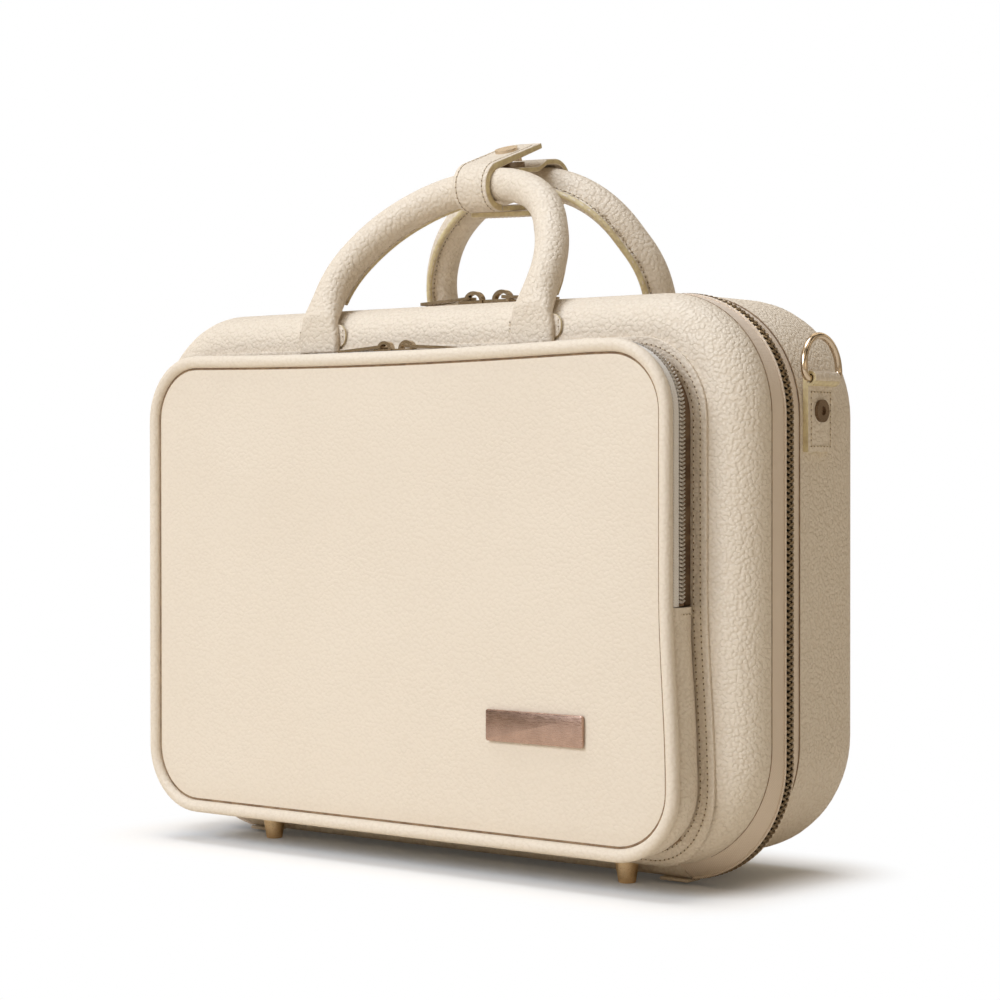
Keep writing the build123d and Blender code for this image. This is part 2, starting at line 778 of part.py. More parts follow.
back_plane = arch_plane(back_pivot_depth, back_pivot_height, back_tilt)
back_rise = arch_rise(back_plane, back_arch, back_bends)
back_cover = arch_cover(back_plane, back_arch, back_bends, back_rise, FORWARD)
with BuildPart() as back_handle_cover:
    add(back_cover)

back_rod = arch_rod(back_plane, back_arch, back_bends, tube_bore - handle_core_fit)
with BuildPart() as back_handle_core:
    add(back_rod)

back_tab_top = back_pivot_height - knuckle_radius - seat_gap
back_tabs = handle_tabs(base_depth + tab_thickness, back_tab_top - back_tab_height, back_tab_top, back_arch)
with BuildPart() as back_handle_tabs:
    add(back_tabs)

# Wrap: its section runs from the front tube's centre to the back tube's centre,
# a little low so that it hugs their tops, and it is canted to follow their bends
front_centre = front_plane.from_local_coords((wrap_x, front_rise, 0))
back_centre = back_plane.from_local_coords((wrap_x, back_rise, 0))
span = hypot(back_centre.Y - front_centre.Y, back_centre.Z - front_centre.Z)
wrap_slope = atan2(back_centre.Z - front_centre.Z, back_centre.Y - front_centre.Y)
loop_inner = tube_radius + wrap_fit
loop_outer = loop_inner + wrap_thickness
snap_at = span - back_strand - tail_bend - tail_margin - snap_radius
tail_end = snap_at - tail_margin / 2 - snap_radius
over = Vector(0, cos(wrap_slope), sin(wrap_slope))
upward = Vector(0, -sin(wrap_slope), cos(wrap_slope))
canted = Vector(1, 0, 0) * cos(radians(wrap_cant)) - upward * sin(radians(wrap_cant))
wrap_plane = Plane(origin=front_centre, x_dir=over, z_dir=canted)
wrap_start = wrap_plane.offset(-wrap_width / 2)

with BuildPart() as wrap_back:
    with BuildSketch(wrap_start):
        with Locations((span / 2, -wrap_drop)):
            SlotCenterToCenter(span, 2 * loop_outer)
            SlotCenterToCenter(span, 2 * loop_inner, mode=Mode.SUBTRACT)
        with Locations((wrap_joint_gap, -wrap_drop)):
            Rectangle(4 * loop_outer, 4 * loop_outer, mode=Mode.SUBTRACT, align=(Align.MAX, Align.CENTER))
        with Locations((0, -wrap_drop)):
            Rectangle(span - back_strand, 2 * loop_outer, mode=Mode.SUBTRACT, align=(Align.MIN, Align.MIN))
        with BuildLine():
            Polyline((span - back_strand, loop_outer - wrap_drop), (span - back_strand, loop_inner - wrap_drop),
                     (span - back_strand - tail_bend, tail_height - wrap_thickness / 2),
                     (tail_end, tail_height - wrap_thickness / 2), (tail_end, tail_height + wrap_thickness / 2),
                     (span - back_strand - tail_bend, tail_height + wrap_thickness / 2), close=True)
        make_face()
    extrude(amount=wrap_width)

with BuildPart() as wrap_front:
    with BuildSketch(wrap_start):
        with BuildLine():
            lower = CenterArc((0, -wrap_drop), loop_outer, 90 + flap_slope, 180 - flap_slope)
            upper = CenterArc((0, -wrap_drop), loop_inner, 90 + flap_slope, 180 - flap_slope)
            flap_top = PolarLine(lower @ 0, flap_length, flap_slope)
            flap_underside = PolarLine(upper @ 0, flap_length, flap_slope)
            Line(flap_top @ 1, flap_underside @ 1)
            Line(lower @ 1, upper @ 1)
        make_face()
    extrude(amount=wrap_width)
    tip_edges = wrap_front.edges().sort_by_distance(wrap_plane.from_local_coords((2 * span, span, 0)))[:4]
    fillet(tip_edges.filter_by(lambda edge: abs(edge.length - wrap_thickness) < snap_gap), radius=patch_corner)

with BuildPart() as wrap_patch:
    patch_base = wrap_plane.from_local_coords((patch_start + patch_length / 2, -wrap_drop - loop_outer, 0))
    with BuildSketch(Plane(origin=patch_base, x_dir=wrap_plane.z_dir, z_dir=-wrap_plane.y_dir)):
        RectangleRounded(patch_width, patch_length, patch_corner)
    extrude(amount=patch_thickness)

tail_top = tail_height + wrap_thickness / 2
with BuildPart() as snap_stud:
    with BuildSketch(Plane(origin=wrap_plane.from_local_coords((snap_at, tail_top, 0)),
                           x_dir=wrap_plane.z_dir, z_dir=wrap_plane.y_dir)):
        Circle(snap_radius)
    extrude(amount=snap_height)

# The upper half of the snap stands square to the flap and is cut off just above the stud
flap_rise = radians(flap_slope)
flap_line = Plane(origin=wrap_plane.from_local_coords((0, -wrap_drop, 0)), z_dir=wrap_plane.z_dir,
                  x_dir=wrap_plane.x_dir * cos(flap_rise) + wrap_plane.y_dir * sin(flap_rise))
socket_seat = Plane(origin=flap_line.from_local_coords((snap_at, loop_inner, 0)),
                    x_dir=wrap_plane.z_dir, z_dir=flap_line.y_dir)
stud_top = wrap_plane.from_local_coords((snap_at, tail_top + snap_height + snap_gap, 0))
with BuildPart() as snap_socket:
    with BuildSketch(socket_seat.offset(-2 * snap_height)):
        Circle(snap_radius)
    extrude(amount=2 * snap_height)
    split(bisect_by=Plane(origin=stud_top, x_dir=wrap_plane.z_dir, z_dir=wrap_plane.y_dir), keep=Keep.TOP)
    with BuildSketch(socket_seat.offset(wrap_thickness)):
        Circle(snap_cap_radius)
    extrude(amount=snap_cap_height)

# Sliders and pulls
main_zip = dict(top=shell_top, depth=0, length=main_slider_length, reach=main_slider_reach,
                tail=main_slider_tail, plate=main_plate, slot=teeth_slot, rows=teeth_reach,
                proud=teeth_proud, under=leather, crown_length=main_crown_length,
                crown_height=main_crown_height)
pocket_zip = dict(top=pocket_top, depth=-coil_depth, length=pocket_slider_length, reach=pocket_slider_reach,
                  tail=pocket_slider_tail, plate=pocket_plate, slot=coil_slot,
                  rows=coil_slot + coil_row, proud=coil_proud, under=tape_inner,
                  crown_length=pocket_crown_length, crown_height=pocket_crown_height)

sliders = {}
for zip_name, zip_sizes, meeting_x, pull_length, pull_width in (
        ("main", main_zip, main_meeting_x, main_pull_length, main_pull_width),
        ("pocket", pocket_zip, pocket_meeting_x, pocket_pull_length, pocket_pull_width)):
    for side_name, away in (("left", LEFT), ("right", RIGHT)):
        pivot = pull_pivot(meeting_x, away, zip_sizes["top"], zip_sizes["length"], zip_sizes["plate"],
                           zip_sizes["proud"], zip_sizes["crown_length"])
        sliders[f"{zip_name}_slider_{side_name}"] = slider(meeting_x, away, **zip_sizes)
        sliders[f"{zip_name}_pull_{side_name}"] = pull(pivot, away, zip_sizes["top"], zip_sizes["depth"],
                                                       pull_length, pull_width)
        print(f"{zip_name}_pull_{side_name} pivot x {pivot[0]:.3f} z {pivot[1]:.3f}")

# Shoulder-strap rings
rings = {}
for side_name, side in (("left", LEFT), ("right", RIGHT)):
    rings[f"ring_tab_{side_name}"] = ring_tab(side)
    rings[f"d_ring_{side_name}"] = d_ring(side)

with BuildPart() as ring_rivets:
    for side in (LEFT, RIGHT):
        seat = Plane(origin=(side * (case_width / 2 + ring_tab_thickness), zip_y + ring_depth, rivet_height),
                     z_dir=(side, 0, 0))
        with BuildSketch(seat):
            Circle(rivet_radius)
        extrude(amount=rivet_head)
        with BuildSketch(seat.offset(rivet_head - rivet_dish_depth)):
            Circle(rivet_dish)
        extrude(amount=rivet_dish_depth, mode=Mode.SUBTRACT)

pieces = {
    "base_cover": base_cover.part,
    "base_core": base_core.part,
    "base_lining": base_lining.part,
    "joint_tray": joint_tray.part,
    "base_feet": base_feet.part,
    "base_zip_tape": base_zip_tape.part,
    "base_zip_teeth": base_zip_teeth.part,
    "hinge_strip": hinge_strip.part,
    "zip_end_tabs": zip_end_tabs.part,
    "lid_cover": lid_cover.part,
    "lid_core": lid_core.part,
    "lid_lining": lid_lining.part,
    "lid_pad": lid_pad.part,
    "lid_feet": lid_feet.part,
    "lid_zip_tape": lid_zip_tape.part,
    "lid_zip_teeth": lid_zip_teeth.part,
    "pocket_flange": pocket_flange.part,
    "pocket_gusset": pocket_gusset.part,
    "pocket_inner_tape": pocket_inner_tape.part,
    "pocket_inner_coil": pocket_inner_coil.part,
    "pocket_outer_coil": pocket_outer_coil.part,
    "pocket_outer_tape": pocket_outer_tape.part,
    "pocket_piping_lower": pocket_piping_lower.part,
    "pocket_piping_upper": pocket_piping_upper.part,
    "pocket_panel_lower": pocket_panel_lower.part,
    "pocket_panel_upper": pocket_panel_upper.part,
    "badge_plate": badge_plate.part,
    "front_handle_cover": front_handle_cover.part,
    "front_handle_core": front_handle_core.part,
    "front_handle_tabs": front_handle_tabs.part,
    "back_handle_cover": back_handle_cover.part,
    "back_handle_core": back_handle_core.part,
    "back_handle_tabs": back_handle_tabs.part,
    "wrap_back": wrap_back.part,
    "wrap_front": wrap_front.part,
    "wrap_patch": wrap_patch.part,
    "snap_socket": snap_socket.part,
    "snap_stud": snap_stud.part,
    "ring_rivets": ring_rivets.part,
    **sliders,
    **rings,
}
for name, piece in pieces.items():
    piece.label = name
    export_step(piece, f"parts/{name}.step")

wrap_hinge = wrap_plane.from_local_coords((0, -wrap_drop - loop_outer, 0))
print(f"wrap hinge {wrap_hinge}, along {wrap_plane.z_dir}")
print(f"zip plane at y {zip_y:.3f}, front pivot depth {front_pivot_depth:.3f}, back {back_pivot_depth:.3f}")
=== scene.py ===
from math import cos, hypot, pi, radians, sin, sqrt, tan

import bpy
from mathutils import Matrix, Vector, noise


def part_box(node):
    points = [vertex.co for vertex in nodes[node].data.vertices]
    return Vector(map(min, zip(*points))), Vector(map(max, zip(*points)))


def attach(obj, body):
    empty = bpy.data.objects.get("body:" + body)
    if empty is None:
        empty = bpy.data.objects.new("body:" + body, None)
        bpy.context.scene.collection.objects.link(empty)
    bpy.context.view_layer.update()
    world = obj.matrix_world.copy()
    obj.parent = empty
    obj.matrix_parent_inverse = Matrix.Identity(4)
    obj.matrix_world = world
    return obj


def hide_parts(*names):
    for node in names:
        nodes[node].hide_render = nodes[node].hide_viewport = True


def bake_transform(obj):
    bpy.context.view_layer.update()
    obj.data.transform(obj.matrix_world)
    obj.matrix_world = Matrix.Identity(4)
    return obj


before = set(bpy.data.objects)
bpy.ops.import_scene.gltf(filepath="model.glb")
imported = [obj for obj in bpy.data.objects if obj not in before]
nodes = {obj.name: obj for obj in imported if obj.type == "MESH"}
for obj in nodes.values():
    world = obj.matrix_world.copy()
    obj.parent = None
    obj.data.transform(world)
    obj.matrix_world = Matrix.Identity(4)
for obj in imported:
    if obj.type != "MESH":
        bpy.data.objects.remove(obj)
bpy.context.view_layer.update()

MM = 0.001
scene = bpy.context.scene

# Sizes of the case in millimetres; depths are measured from the zip plane, negative in the lid
CASE_WIDTH = 304.0
SHELL_BOTTOM = 8.3
SHELL_HEIGHT = 207.5
SHELL_TOP = SHELL_BOTTOM + SHELL_HEIGHT
CORNER = 45.0
LID_DEPTH = 25.5
BASE_DEPTH = 57.4
LID_ROLL = 14.0
BASE_ROLL = 22.0
LEATHER = 1.2
LINING_INSET = 5.2
LINING_WALL = 1.2
LINING_RIM = 6.0
CUSHION_DEPTH = 6.4 - LID_DEPTH
CUSHION_THICK = 7.0
ZIP_BOTTOM = 2.2
ZIP_END_X = 112.0
ZIP_END_TOP = 25.0
TAPE_INSET = 0.4
LID_TAPE = -11.5
BASE_TAPE = 7.0
TAPE_EDGE = 2.9
TOOTH_ROOT = 1.8
TOOTH_PITCH = 2.2
ZIP_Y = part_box("base_cover")[0].y / MM - BASE_TAPE
SHELL = dict(width=CASE_WIDTH, height=SHELL_HEIGHT, low=SHELL_BOTTOM, corner=CORNER)
ZIP_LINE = dict(SHELL, height=SHELL_TOP - ZIP_BOTTOM, low=ZIP_BOTTOM)
CUSHION = dict(width=275.2, height=178.7, low=22.7, corner=30.6)

# Straight edges longer than this are divided before they are bent
LONG_EDGE = 15.0

# Sizes of the pocket
POCKET_BOTTOM = 15.0
POCKET = dict(width=257.2, height=181.0, low=POCKET_BOTTOM, corner=24.0)
FOLD = 103.5
FLANGE = 5.9
FLANGE_TOP = 3.6
BORDER = dict(width=POCKET["width"] + 2 * FLANGE, height=POCKET["height"] + FLANGE + FLANGE_TOP,
              low=POCKET_BOTTOM - FLANGE, corner=POCKET["corner"] + FLANGE)
FLANGE_FACE = -26.7
BADGE_X = 71.4
BADGE_Z = 58.0
COIL_DEPTH = -35.2
COIL_PITCH = 1.42
WALL_FRONT = -40.5
PIPING_DEPTH = -43.0
PIPING = 2.5
HEM = 2.6

# How far the filled pocket bulges low on its right side, and how its top edge sags
BULGE = 3.0
BULGE_FROM = 60.0
BULGE_TOP = 110.0
BULGE_REACH = 70.0
SAG = 1.6
SAG_LEFT = -118.0
SAG_RIGHT = 95.0
SAG_FROM = 150.0
SAG_REACH = 40.0

# Handles: arches in their leaning planes, with the bend radius at each corner
TUBE = 6.5
END_WIDTH = 20.0
END_THICKNESS = 5.0
END_LENGTH = 20.0
RING_POINTS = 32
CUT_RISE = 17.0
SEAM_OUT = 8.55
FRONT_ARCH = [(-50.2, 16.0), (-50.2, 26.4), (-37.7, 46.4), (-14.5, 60.9), (18.2, 65.5), (43.0, 55.5),
              (57.3, 28.6), (57.3, 16.0)]
FRONT_BENDS = [35.6, 52.1, 65.6, 48.8, 36.5, 49.6]
BACK_ARCH = [(-55.3, 16.0), (-55.3, 25.4), (-44.7, 45.4), (-22.2, 61.7), (7.9, 67.0), (37.9, 56.1),
             (56.3, 26.6), (56.3, 16.0)]
BACK_BENDS = [37.3, 52.1, 61.0, 56.7, 47.2, 36.5]

# The wrap that holds the handles: its hinge line, the ways along and over it, and its loop
WRAP_X = 8.4
WRAP_WIDTH = 17.0
WRAP_HINGE = Vector((8.04054, -2.99133, 253.09837))
WRAP_ALONG = Vector((0.9993908, 0.0042072, -0.034645))
WRAP_OVER = Vector((0, 0.99271, 0.12055))
WRAP_UP = WRAP_ALONG.cross(WRAP_OVER).normalized()
LOOP_OUTER = 9.8
LOOP_SURFACE = LOOP_OUTER + 0.05
WRAP_CENTRE = WRAP_HINGE + WRAP_UP * LOOP_OUTER
FLAP_SLOPE = radians(13.0)

# Stitches: the usual pitch, and how many go along the wrap's loop and flap
FINE_PITCH = 2.1
LOOP_STITCHES = 12
FLAP_STITCHES = 10

# Colours, as they look in plain light
CREAM = (0.76, 0.67, 0.545, 1)
CREAM_DEEP = (0.40, 0.28, 0.165, 1)
EDGE_PAINT = (0.70, 0.60, 0.34, 1)
THREAD = (0.70, 0.60, 0.44, 1)
# Painted shade, for the inside of needle holes
NEEDLE_HOLE = (0.035, 0.022, 0.012, 1)
# Painted shade, for the dark line by the zip tapes, the pocket's grooves and the gap beside its coil
SEAM_SHADE = (0.20, 0.125, 0.07, 1)
ZIP_CREAM = (0.80, 0.68, 0.55, 1)
TAPE_GREY = (0.82, 0.80, 0.76, 1)
COIL_GREY = (0.56, 0.51, 0.44, 1)
PLUSH = (0.20, 0.14, 0.09, 1)
BOARD = (0.11, 0.08, 0.055, 1)
TEETH_METAL = (0.26, 0.195, 0.12, 1)
PULL_METAL = (0.48, 0.385, 0.27, 1)
RING_METAL = (0.68, 0.56, 0.42, 1)
DARK_METAL = (0.26, 0.19, 0.13, 1)
BRASS = (0.92, 0.72, 0.46, 1)
ROSE_BRONZE = (0.52, 0.36, 0.29, 1)


# Nodes

def feed(tree, socket, value):
    """Sets a socket to a plain value, or links it to another node's output."""
    if isinstance(value, (int, float, tuple)):
        socket.default_value = value
    else:
        tree.links.new(value, socket)


def fill(tree, sockets, **values):
    """Feeds several sockets that are given by name."""
    for label, value in values.items():
        feed(tree, sockets[label.replace("_", " ")], value)


def calculate(tree, operation, first, second=0.0):
    node = tree.nodes.new("ShaderNodeMath")
    node.operation = operation
    feed(tree, node.inputs[0], first)
    feed(tree, node.inputs[1], second)
    return node.outputs[0]


def cloud(tree, vector, scale, detail=2.0):
    node = tree.nodes.new("ShaderNodeTexNoise")
    fill(tree, node.inputs, Vector=vector, Scale=scale, Detail=detail)
    return node.outputs


def remap(tree, value, low, high, to_low, to_high, kind="LINEAR"):
    node = tree.nodes.new("ShaderNodeMapRange")
    node.interpolation_type = kind
    fill(tree, node.inputs, Value=value, From_Min=low, From_Max=high, To_Min=to_low, To_Max=to_high)
    return node.outputs[0]


def mix_colours(tree, mask, low, high):
    node = tree.nodes.new("ShaderNodeMix")
    node.data_type = "RGBA"
    fill(tree, node.inputs, Factor=mask, A=low, B=high)
    return node.outputs["Result"]


def split(tree, vector):
    node = tree.nodes.new("ShaderNodeSeparateXYZ")
    feed(tree, node.inputs[0], vector)
    return node.outputs


# Node groups that several finishes share

def new_group(name, outputs, **measures):
    """A node group from a vector and named measures to plain values."""
    group = bpy.data.node_groups.new(name, "ShaderNodeTree")
    group.interface.new_socket("Vector", in_out="INPUT", socket_type="NodeSocketVector")
    for label, value in measures.items():
        socket = group.interface.new_socket(label.replace("_", " "), in_out="INPUT",
                                            socket_type="NodeSocketFloat")
        socket.default_value = value
    for label in outputs:
        group.interface.new_socket(label, in_out="OUTPUT", socket_type="NodeSocketFloat")
    given = group.nodes.new("NodeGroupInput").outputs
    return group, given, given["Vector"], group.nodes.new("NodeGroupOutput").inputs


def make_pebble_grain():
    """Flat-topped pebbles of a milled hide between soft creases, with slow waves under them."""
    group, given, place, put = new_group("pebble_grain", ("Height", "Crease", "Blotch", "Wave"),
                                         Pebbles_per_metre=600.0)
    shift = group.nodes.new("ShaderNodeVectorMath")
    shift.operation = "MULTIPLY_ADD"
    feed(group, shift.inputs[0], cloud(group, place, 360.0)["Color"])
    feed(group, shift.inputs[1], (0.0005, 0.0005, 0.0005))
    feed(group, shift.inputs[2], place)
    cells = group.nodes.new("ShaderNodeTexVoronoi")
    cells.feature = "SMOOTH_F1"
    fill(group, cells.inputs, Smoothness=0.10, Vector=shift.outputs[0], Scale=given["Pebbles per metre"])
    away = cells.outputs["Distance"]
    rise = remap(group, away, 0.78, 0.34, 0.0, 1.0, "SMOOTHSTEP")
    pores = calculate(group, "MULTIPLY", cloud(group, place, 2600.0, 1.0)[0], 0.12)
    fill(group, put, Height=calculate(group, "ADD", rise, pores),
         Crease=remap(group, away, 0.45, 0.72, 0.0, 1.0),
         Blotch=cloud(group, place, 14.0)[0], Wave=cloud(group, place, 34.0, 1.0)[0])
    return group


def make_weave():
    """Fine ribs of a woven tape."""
    group, given, place, put = new_group("weave", ("Height",), Threads_per_metre=1600.0)
    scaled = group.nodes.new("ShaderNodeVectorMath")
    scaled.operation = "SCALE"
    fill(group, scaled.inputs, Vector=place, Scale=given["Threads per metre"])
    x, y, z = split(group, scaled.outputs[0])
    run = calculate(group, "ADD", x, z)
    one, other = (calculate(group, "SINE", calculate(group, "MULTIPLY", slant, pi))
                  for slant in (calculate(group, "ADD", y, run), calculate(group, "SUBTRACT", run, y)))
    fill(group, put, Height=calculate(group, "MAXIMUM", one, other))
    return group


def make_plated_wear():
    """Fine scratches and soft clouds of a plated metal."""
    group, given, place, put = new_group("plated_wear", ("Height", "Cloud"))
    stretch = group.nodes.new("ShaderNodeMapping")
    fill(group, stretch.inputs, Scale=(60, 900, 900), Vector=place)
    fill(group, put, Height=cloud(group, stretch.outputs[0], 6.0)[0], Cloud=cloud(group, place, 180.0, 4.0)[0])
    return group


PEBBLE_GRAIN = make_pebble_grain()
WEAVE = make_weave()
PLATED_WEAR = make_plated_wear()


# Finishes

def new_finish(name):
    material = bpy.data.materials.new(name)
    material.use_nodes = True
    tree = material.node_tree
    place = tree.nodes.new("ShaderNodeTexCoord").outputs["Object"]
    return material, tree, tree.nodes["Principled BSDF"].inputs, place


def use_group(tree, group, vector, **values):
    node = tree.nodes.new("ShaderNodeGroup")
    node.node_tree = group
    fill(tree, node.inputs, Vector=vector, **values)
    return node.outputs


def bump(tree, height, strength, distance, **under):
    node = tree.nodes.new("ShaderNodeBump")
    fill(tree, node.inputs, Strength=strength, Distance=distance, Height=height, **under)
    return node.outputs[0]


def darker(colour, level):
    return tuple(level * channel for channel in colour[:3]) + (1,)


def leather(name, pebbles, depth, crease_shade):
    """Cream cowhide with a milled grain, with a little painted shade in its creases."""
    material, tree, shader, place = new_finish(name)
    grain = use_group(tree, PEBBLE_GRAIN, place, Pebbles_per_metre=pebbles)
    worn = mix_colours(tree, remap(tree, grain["Blotch"], 0.3, 0.7, 0.0, 0.05), CREAM, CREAM_DEEP)
    # Painted shade: the grain's creases are darkened towards deep cream
    painted_crease_shade = calculate(tree, "MULTIPLY", grain["Crease"], crease_shade)
    fill(tree, shader, Base_Color=mix_colours(tree, painted_crease_shade, worn, CREAM_DEEP), Specular_IOR_Level=0.4,
         Roughness=remap(tree, grain["Height"], 0.2, 1.0, 0.62, 0.44),
         Normal=bump(tree, grain["Height"], 0.75, depth, Normal=bump(tree, grain["Wave"], 0.25, 0.0018)))
    return material


def clouded(name, scale, colour, range_and_mask, roughness, relief=0.0):
    """A dull finish with clouds of deep cream, which also carry its roughness and relief."""
    material, tree, shader, place = new_finish(name)
    clouds = cloud(tree, place, scale)[0]
    mask = remap(tree, clouds, *range_and_mask)
    fill(tree, shader, Base_Color=mix_colours(tree, mask, colour, CREAM_DEEP),
         Roughness=remap(tree, clouds, 0.3, 0.7, *roughness))
    if relief:
        fill(tree, shader, Normal=bump(tree, clouds, relief, 0.0003))
    return material


def woven(name, colour, shade, threads, shaded=0.4, roughness=0.85, sheen=0.15, relief=(0.5, 0.00012)):
    """Ribbed threads: tapes, coils and the sewing thread."""
    material, tree, shader, place = new_finish(name)
    weave = use_group(tree, WEAVE, place, Threads_per_metre=threads)["Height"]
    fill(tree, shader, Base_Color=mix_colours(tree, remap(tree, weave, -1.0, 1.0, shaded, 0.0), colour, shade),
         Roughness=roughness, Sheen_Weight=sheen, Normal=bump(tree, weave, *relief))
    return material


def plush():
    """Short velvety pile of the lining and the tray."""
    material, tree, shader, place = new_finish("plush")
    nap = remap(tree, cloud(tree, place, 30.0)[0], 0.35, 0.65, 0.0, 0.6)
    pile = cloud(tree, place, 1500.0, 3.0)[0]
    fill(tree, shader, Base_Color=mix_colours(tree, nap, PLUSH, darker(PLUSH, 0.6)), Roughness=0.95,
         Sheen_Weight=0.5, Sheen_Roughness=0.4, Normal=bump(tree, pile, 0.6, 0.0006))
    return material


def plated(name, colour, roughness):
    """Plated metal, a little cloudy and scratched."""
    material, tree, shader, place = new_finish(name)
    wear = use_group(tree, PLATED_WEAR, place)
    clouds = remap(tree, wear["Cloud"], 0.35, 0.65, 0.0, 0.5)
    fill(tree, shader, Base_Color=mix_colours(tree, clouds, colour, darker(colour, 0.72)), Metallic=1.0,
         Roughness=remap(tree, wear["Height"], 0.3, 0.7, roughness - 0.06, roughness + 0.08),
         Normal=bump(tree, wear["Height"], 0.08, 0.0001))
    return material


SHELL_LEATHER = leather("shell_leather", 740.0, 0.00030, 0.13)
PANEL_LEATHER = leather("panel_leather", 760.0, 0.00011, 0.04)
STRAP_LEATHER = leather("strap_leather", 680.0, 0.00030, 0.12)
SMOOTH_STRAP = leather("smooth_strap_leather", 760.0, 0.00012, 0.08)
# Painted shade for seams, grooves and gaps
PAINTED_SHADE = clouded("seam_shade", 300.0, SEAM_SHADE, (0.35, 0.65, 0.0, 0.6), (0.7, 0.9))
PAINTED_EDGE = clouded("painted_edge", 500.0, EDGE_PAINT, (0.3, 0.7, 0.0, 0.5), (0.4, 0.4), 0.2)
# Painted shade inside the needle holes
HOLE = clouded("needle_hole", 900.0, NEEDLE_HOLE, (0.0, 1.0, 0.0, 1.0), (0.8, 1.0))
BOARD_FINISH = clouded("fibre_board", 700.0, BOARD, (0.0, 1.0, 0.0, 1.0), (0.9, 0.9), 0.3)
WAXED_THREAD = woven("waxed_thread", THREAD, CREAM_DEEP, 2600.0, 0.3, 0.6, 0.0, (0.4, 0.0001))
ZIP_TAPE = woven("zip_tape", ZIP_CREAM, CREAM_DEEP, 2000.0)
POCKET_TAPE = woven("pocket_tape", TAPE_GREY, CREAM_DEEP, 2000.0)
COIL = woven("zip_coil", COIL_GREY, TAPE_GREY, 900.0)
PLUSH_FINISH = plush()
TEETH = plated("zip_teeth_metal", TEETH_METAL, 0.30)
PULLS = plated("pull_metal", PULL_METAL, 0.20)
RIVETS = plated("rivet_metal", DARK_METAL, 0.22)
RINGS = plated("ring_metal", RING_METAL, 0.16)
FEET = plated("foot_bronze", BRASS, 0.30)
BADGE = plated("badge_bronze", ROSE_BRONZE, 0.26)


# Ways of making pieces

def at(x, depth, z):
    """A place in metres from millimetres across, from the zip plane and up."""
    return Vector((x, ZIP_Y + depth, z)) * MM


def alone(piece):
    """Selects one object and nothing else."""
    if bpy.context.object and bpy.context.object.mode == "EDIT":
        bpy.ops.object.mode_set(mode="OBJECT")
    bpy.ops.object.select_all(action="DESELECT")
    piece.select_set(True)
    bpy.context.view_layer.objects.active = piece


def new_object(name, data):
    piece = bpy.data.objects.new(name, data)
    scene.collection.objects.link(piece)
    return piece


def edit(piece):
    alone(piece)
    bpy.ops.object.mode_set(mode="EDIT")
    bpy.ops.mesh.select_mode(type="VERT")
    bpy.ops.mesh.select_all(action="SELECT")


def finish_edit():
    bpy.ops.object.mode_set(mode="OBJECT")


def choose_faces(piece, test):
    """In edit mode, selects the faces whose centre (in millimetres) and direction pass a test."""
    bpy.ops.mesh.select_mode(type="FACE")
    bpy.ops.mesh.select_all(action="DESELECT")
    bpy.ops.object.mode_set(mode="OBJECT")
    for face in piece.data.polygons:
        face.select = test(face.center / MM, face.normal)
    bpy.ops.object.mode_set(mode="EDIT")


def choose_edges(piece, test):
    """In edit mode, selects the edges whose two ends (in millimetres) pass a test."""
    bpy.ops.mesh.select_mode(type="EDGE")
    bpy.ops.mesh.select_all(action="DESELECT")
    bpy.ops.object.mode_set(mode="OBJECT")
    vertices = piece.data.vertices
    for edge in piece.data.edges:
        edge.select = test(vertices[edge.vertices[0]].co / MM, vertices[edge.vertices[1]].co / MM)
    bpy.ops.object.mode_set(mode="EDIT")


def cuboid(name, middle, sizes):
    """A box from its middle and its sizes in metres."""
    bpy.ops.object.select_all(action="DESELECT")
    bpy.ops.mesh.primitive_cube_add(size=1, location=middle)
    piece = bpy.context.object
    piece.name = name
    piece.scale = sizes
    bpy.ops.object.transform_apply()
    return piece


def block(name, low, high):
    """A box between two corners given across, in depth and up."""
    middle = [(a + b) / 2 for a, b in zip(low, high)]
    return cuboid(name, at(*middle), [(b - a) * MM for a, b in zip(low, high)])


def round_corners(piece, radius, segments):
    """Rounds the edges of a box that run from its front to its back."""
    edit(piece)
    choose_edges(piece, lambda a, b: abs(a.y - b.y) > 0.5)
    bpy.ops.mesh.bevel(offset=radius * MM, segments=segments, affect="EDGES")
    finish_edit()


def outline(name, shape, inset, depth):
    """An upright rounded rectangle, shrunk by an inset, as one face that looks to the front."""
    bpy.ops.object.select_all(action="DESELECT")
    bpy.ops.mesh.primitive_plane_add(size=1, location=at(0, depth, shape["low"] + shape["height"] / 2),
                                     rotation=(pi / 2, 0, 0))
    piece = bpy.context.object
    piece.name = name
    piece.scale = ((shape["width"] - 2 * inset) * MM, (shape["height"] - 2 * inset) * MM, 1)
    bpy.ops.object.transform_apply()
    edit(piece)
    bpy.ops.mesh.bevel(offset=(shape["corner"] - inset) * MM, segments=14, affect="VERTICES")
    finish_edit()
    return piece


def joined(pieces, name):
    bpy.ops.object.select_all(action="DESELECT")
    for piece in pieces:
        piece.select_set(True)
    bpy.context.view_layer.objects.active = pieces[0]
    bpy.ops.object.join()
    piece = bpy.context.object
    piece.name = name
    return piece


def bridged(loops, name):
    """A wall through several outlines, one after another."""
    piece = joined(loops, name)
    edit(piece)
    bpy.ops.mesh.delete(type="ONLY_FACE")
    bpy.ops.mesh.select_mode(type="EDGE")
    bpy.ops.mesh.select_all(action="SELECT")
    bpy.ops.mesh.bridge_edge_loops()
    bpy.ops.mesh.select_all(action="SELECT")
    bpy.ops.mesh.normals_make_consistent(inside=False)
    finish_edit()
    return piece


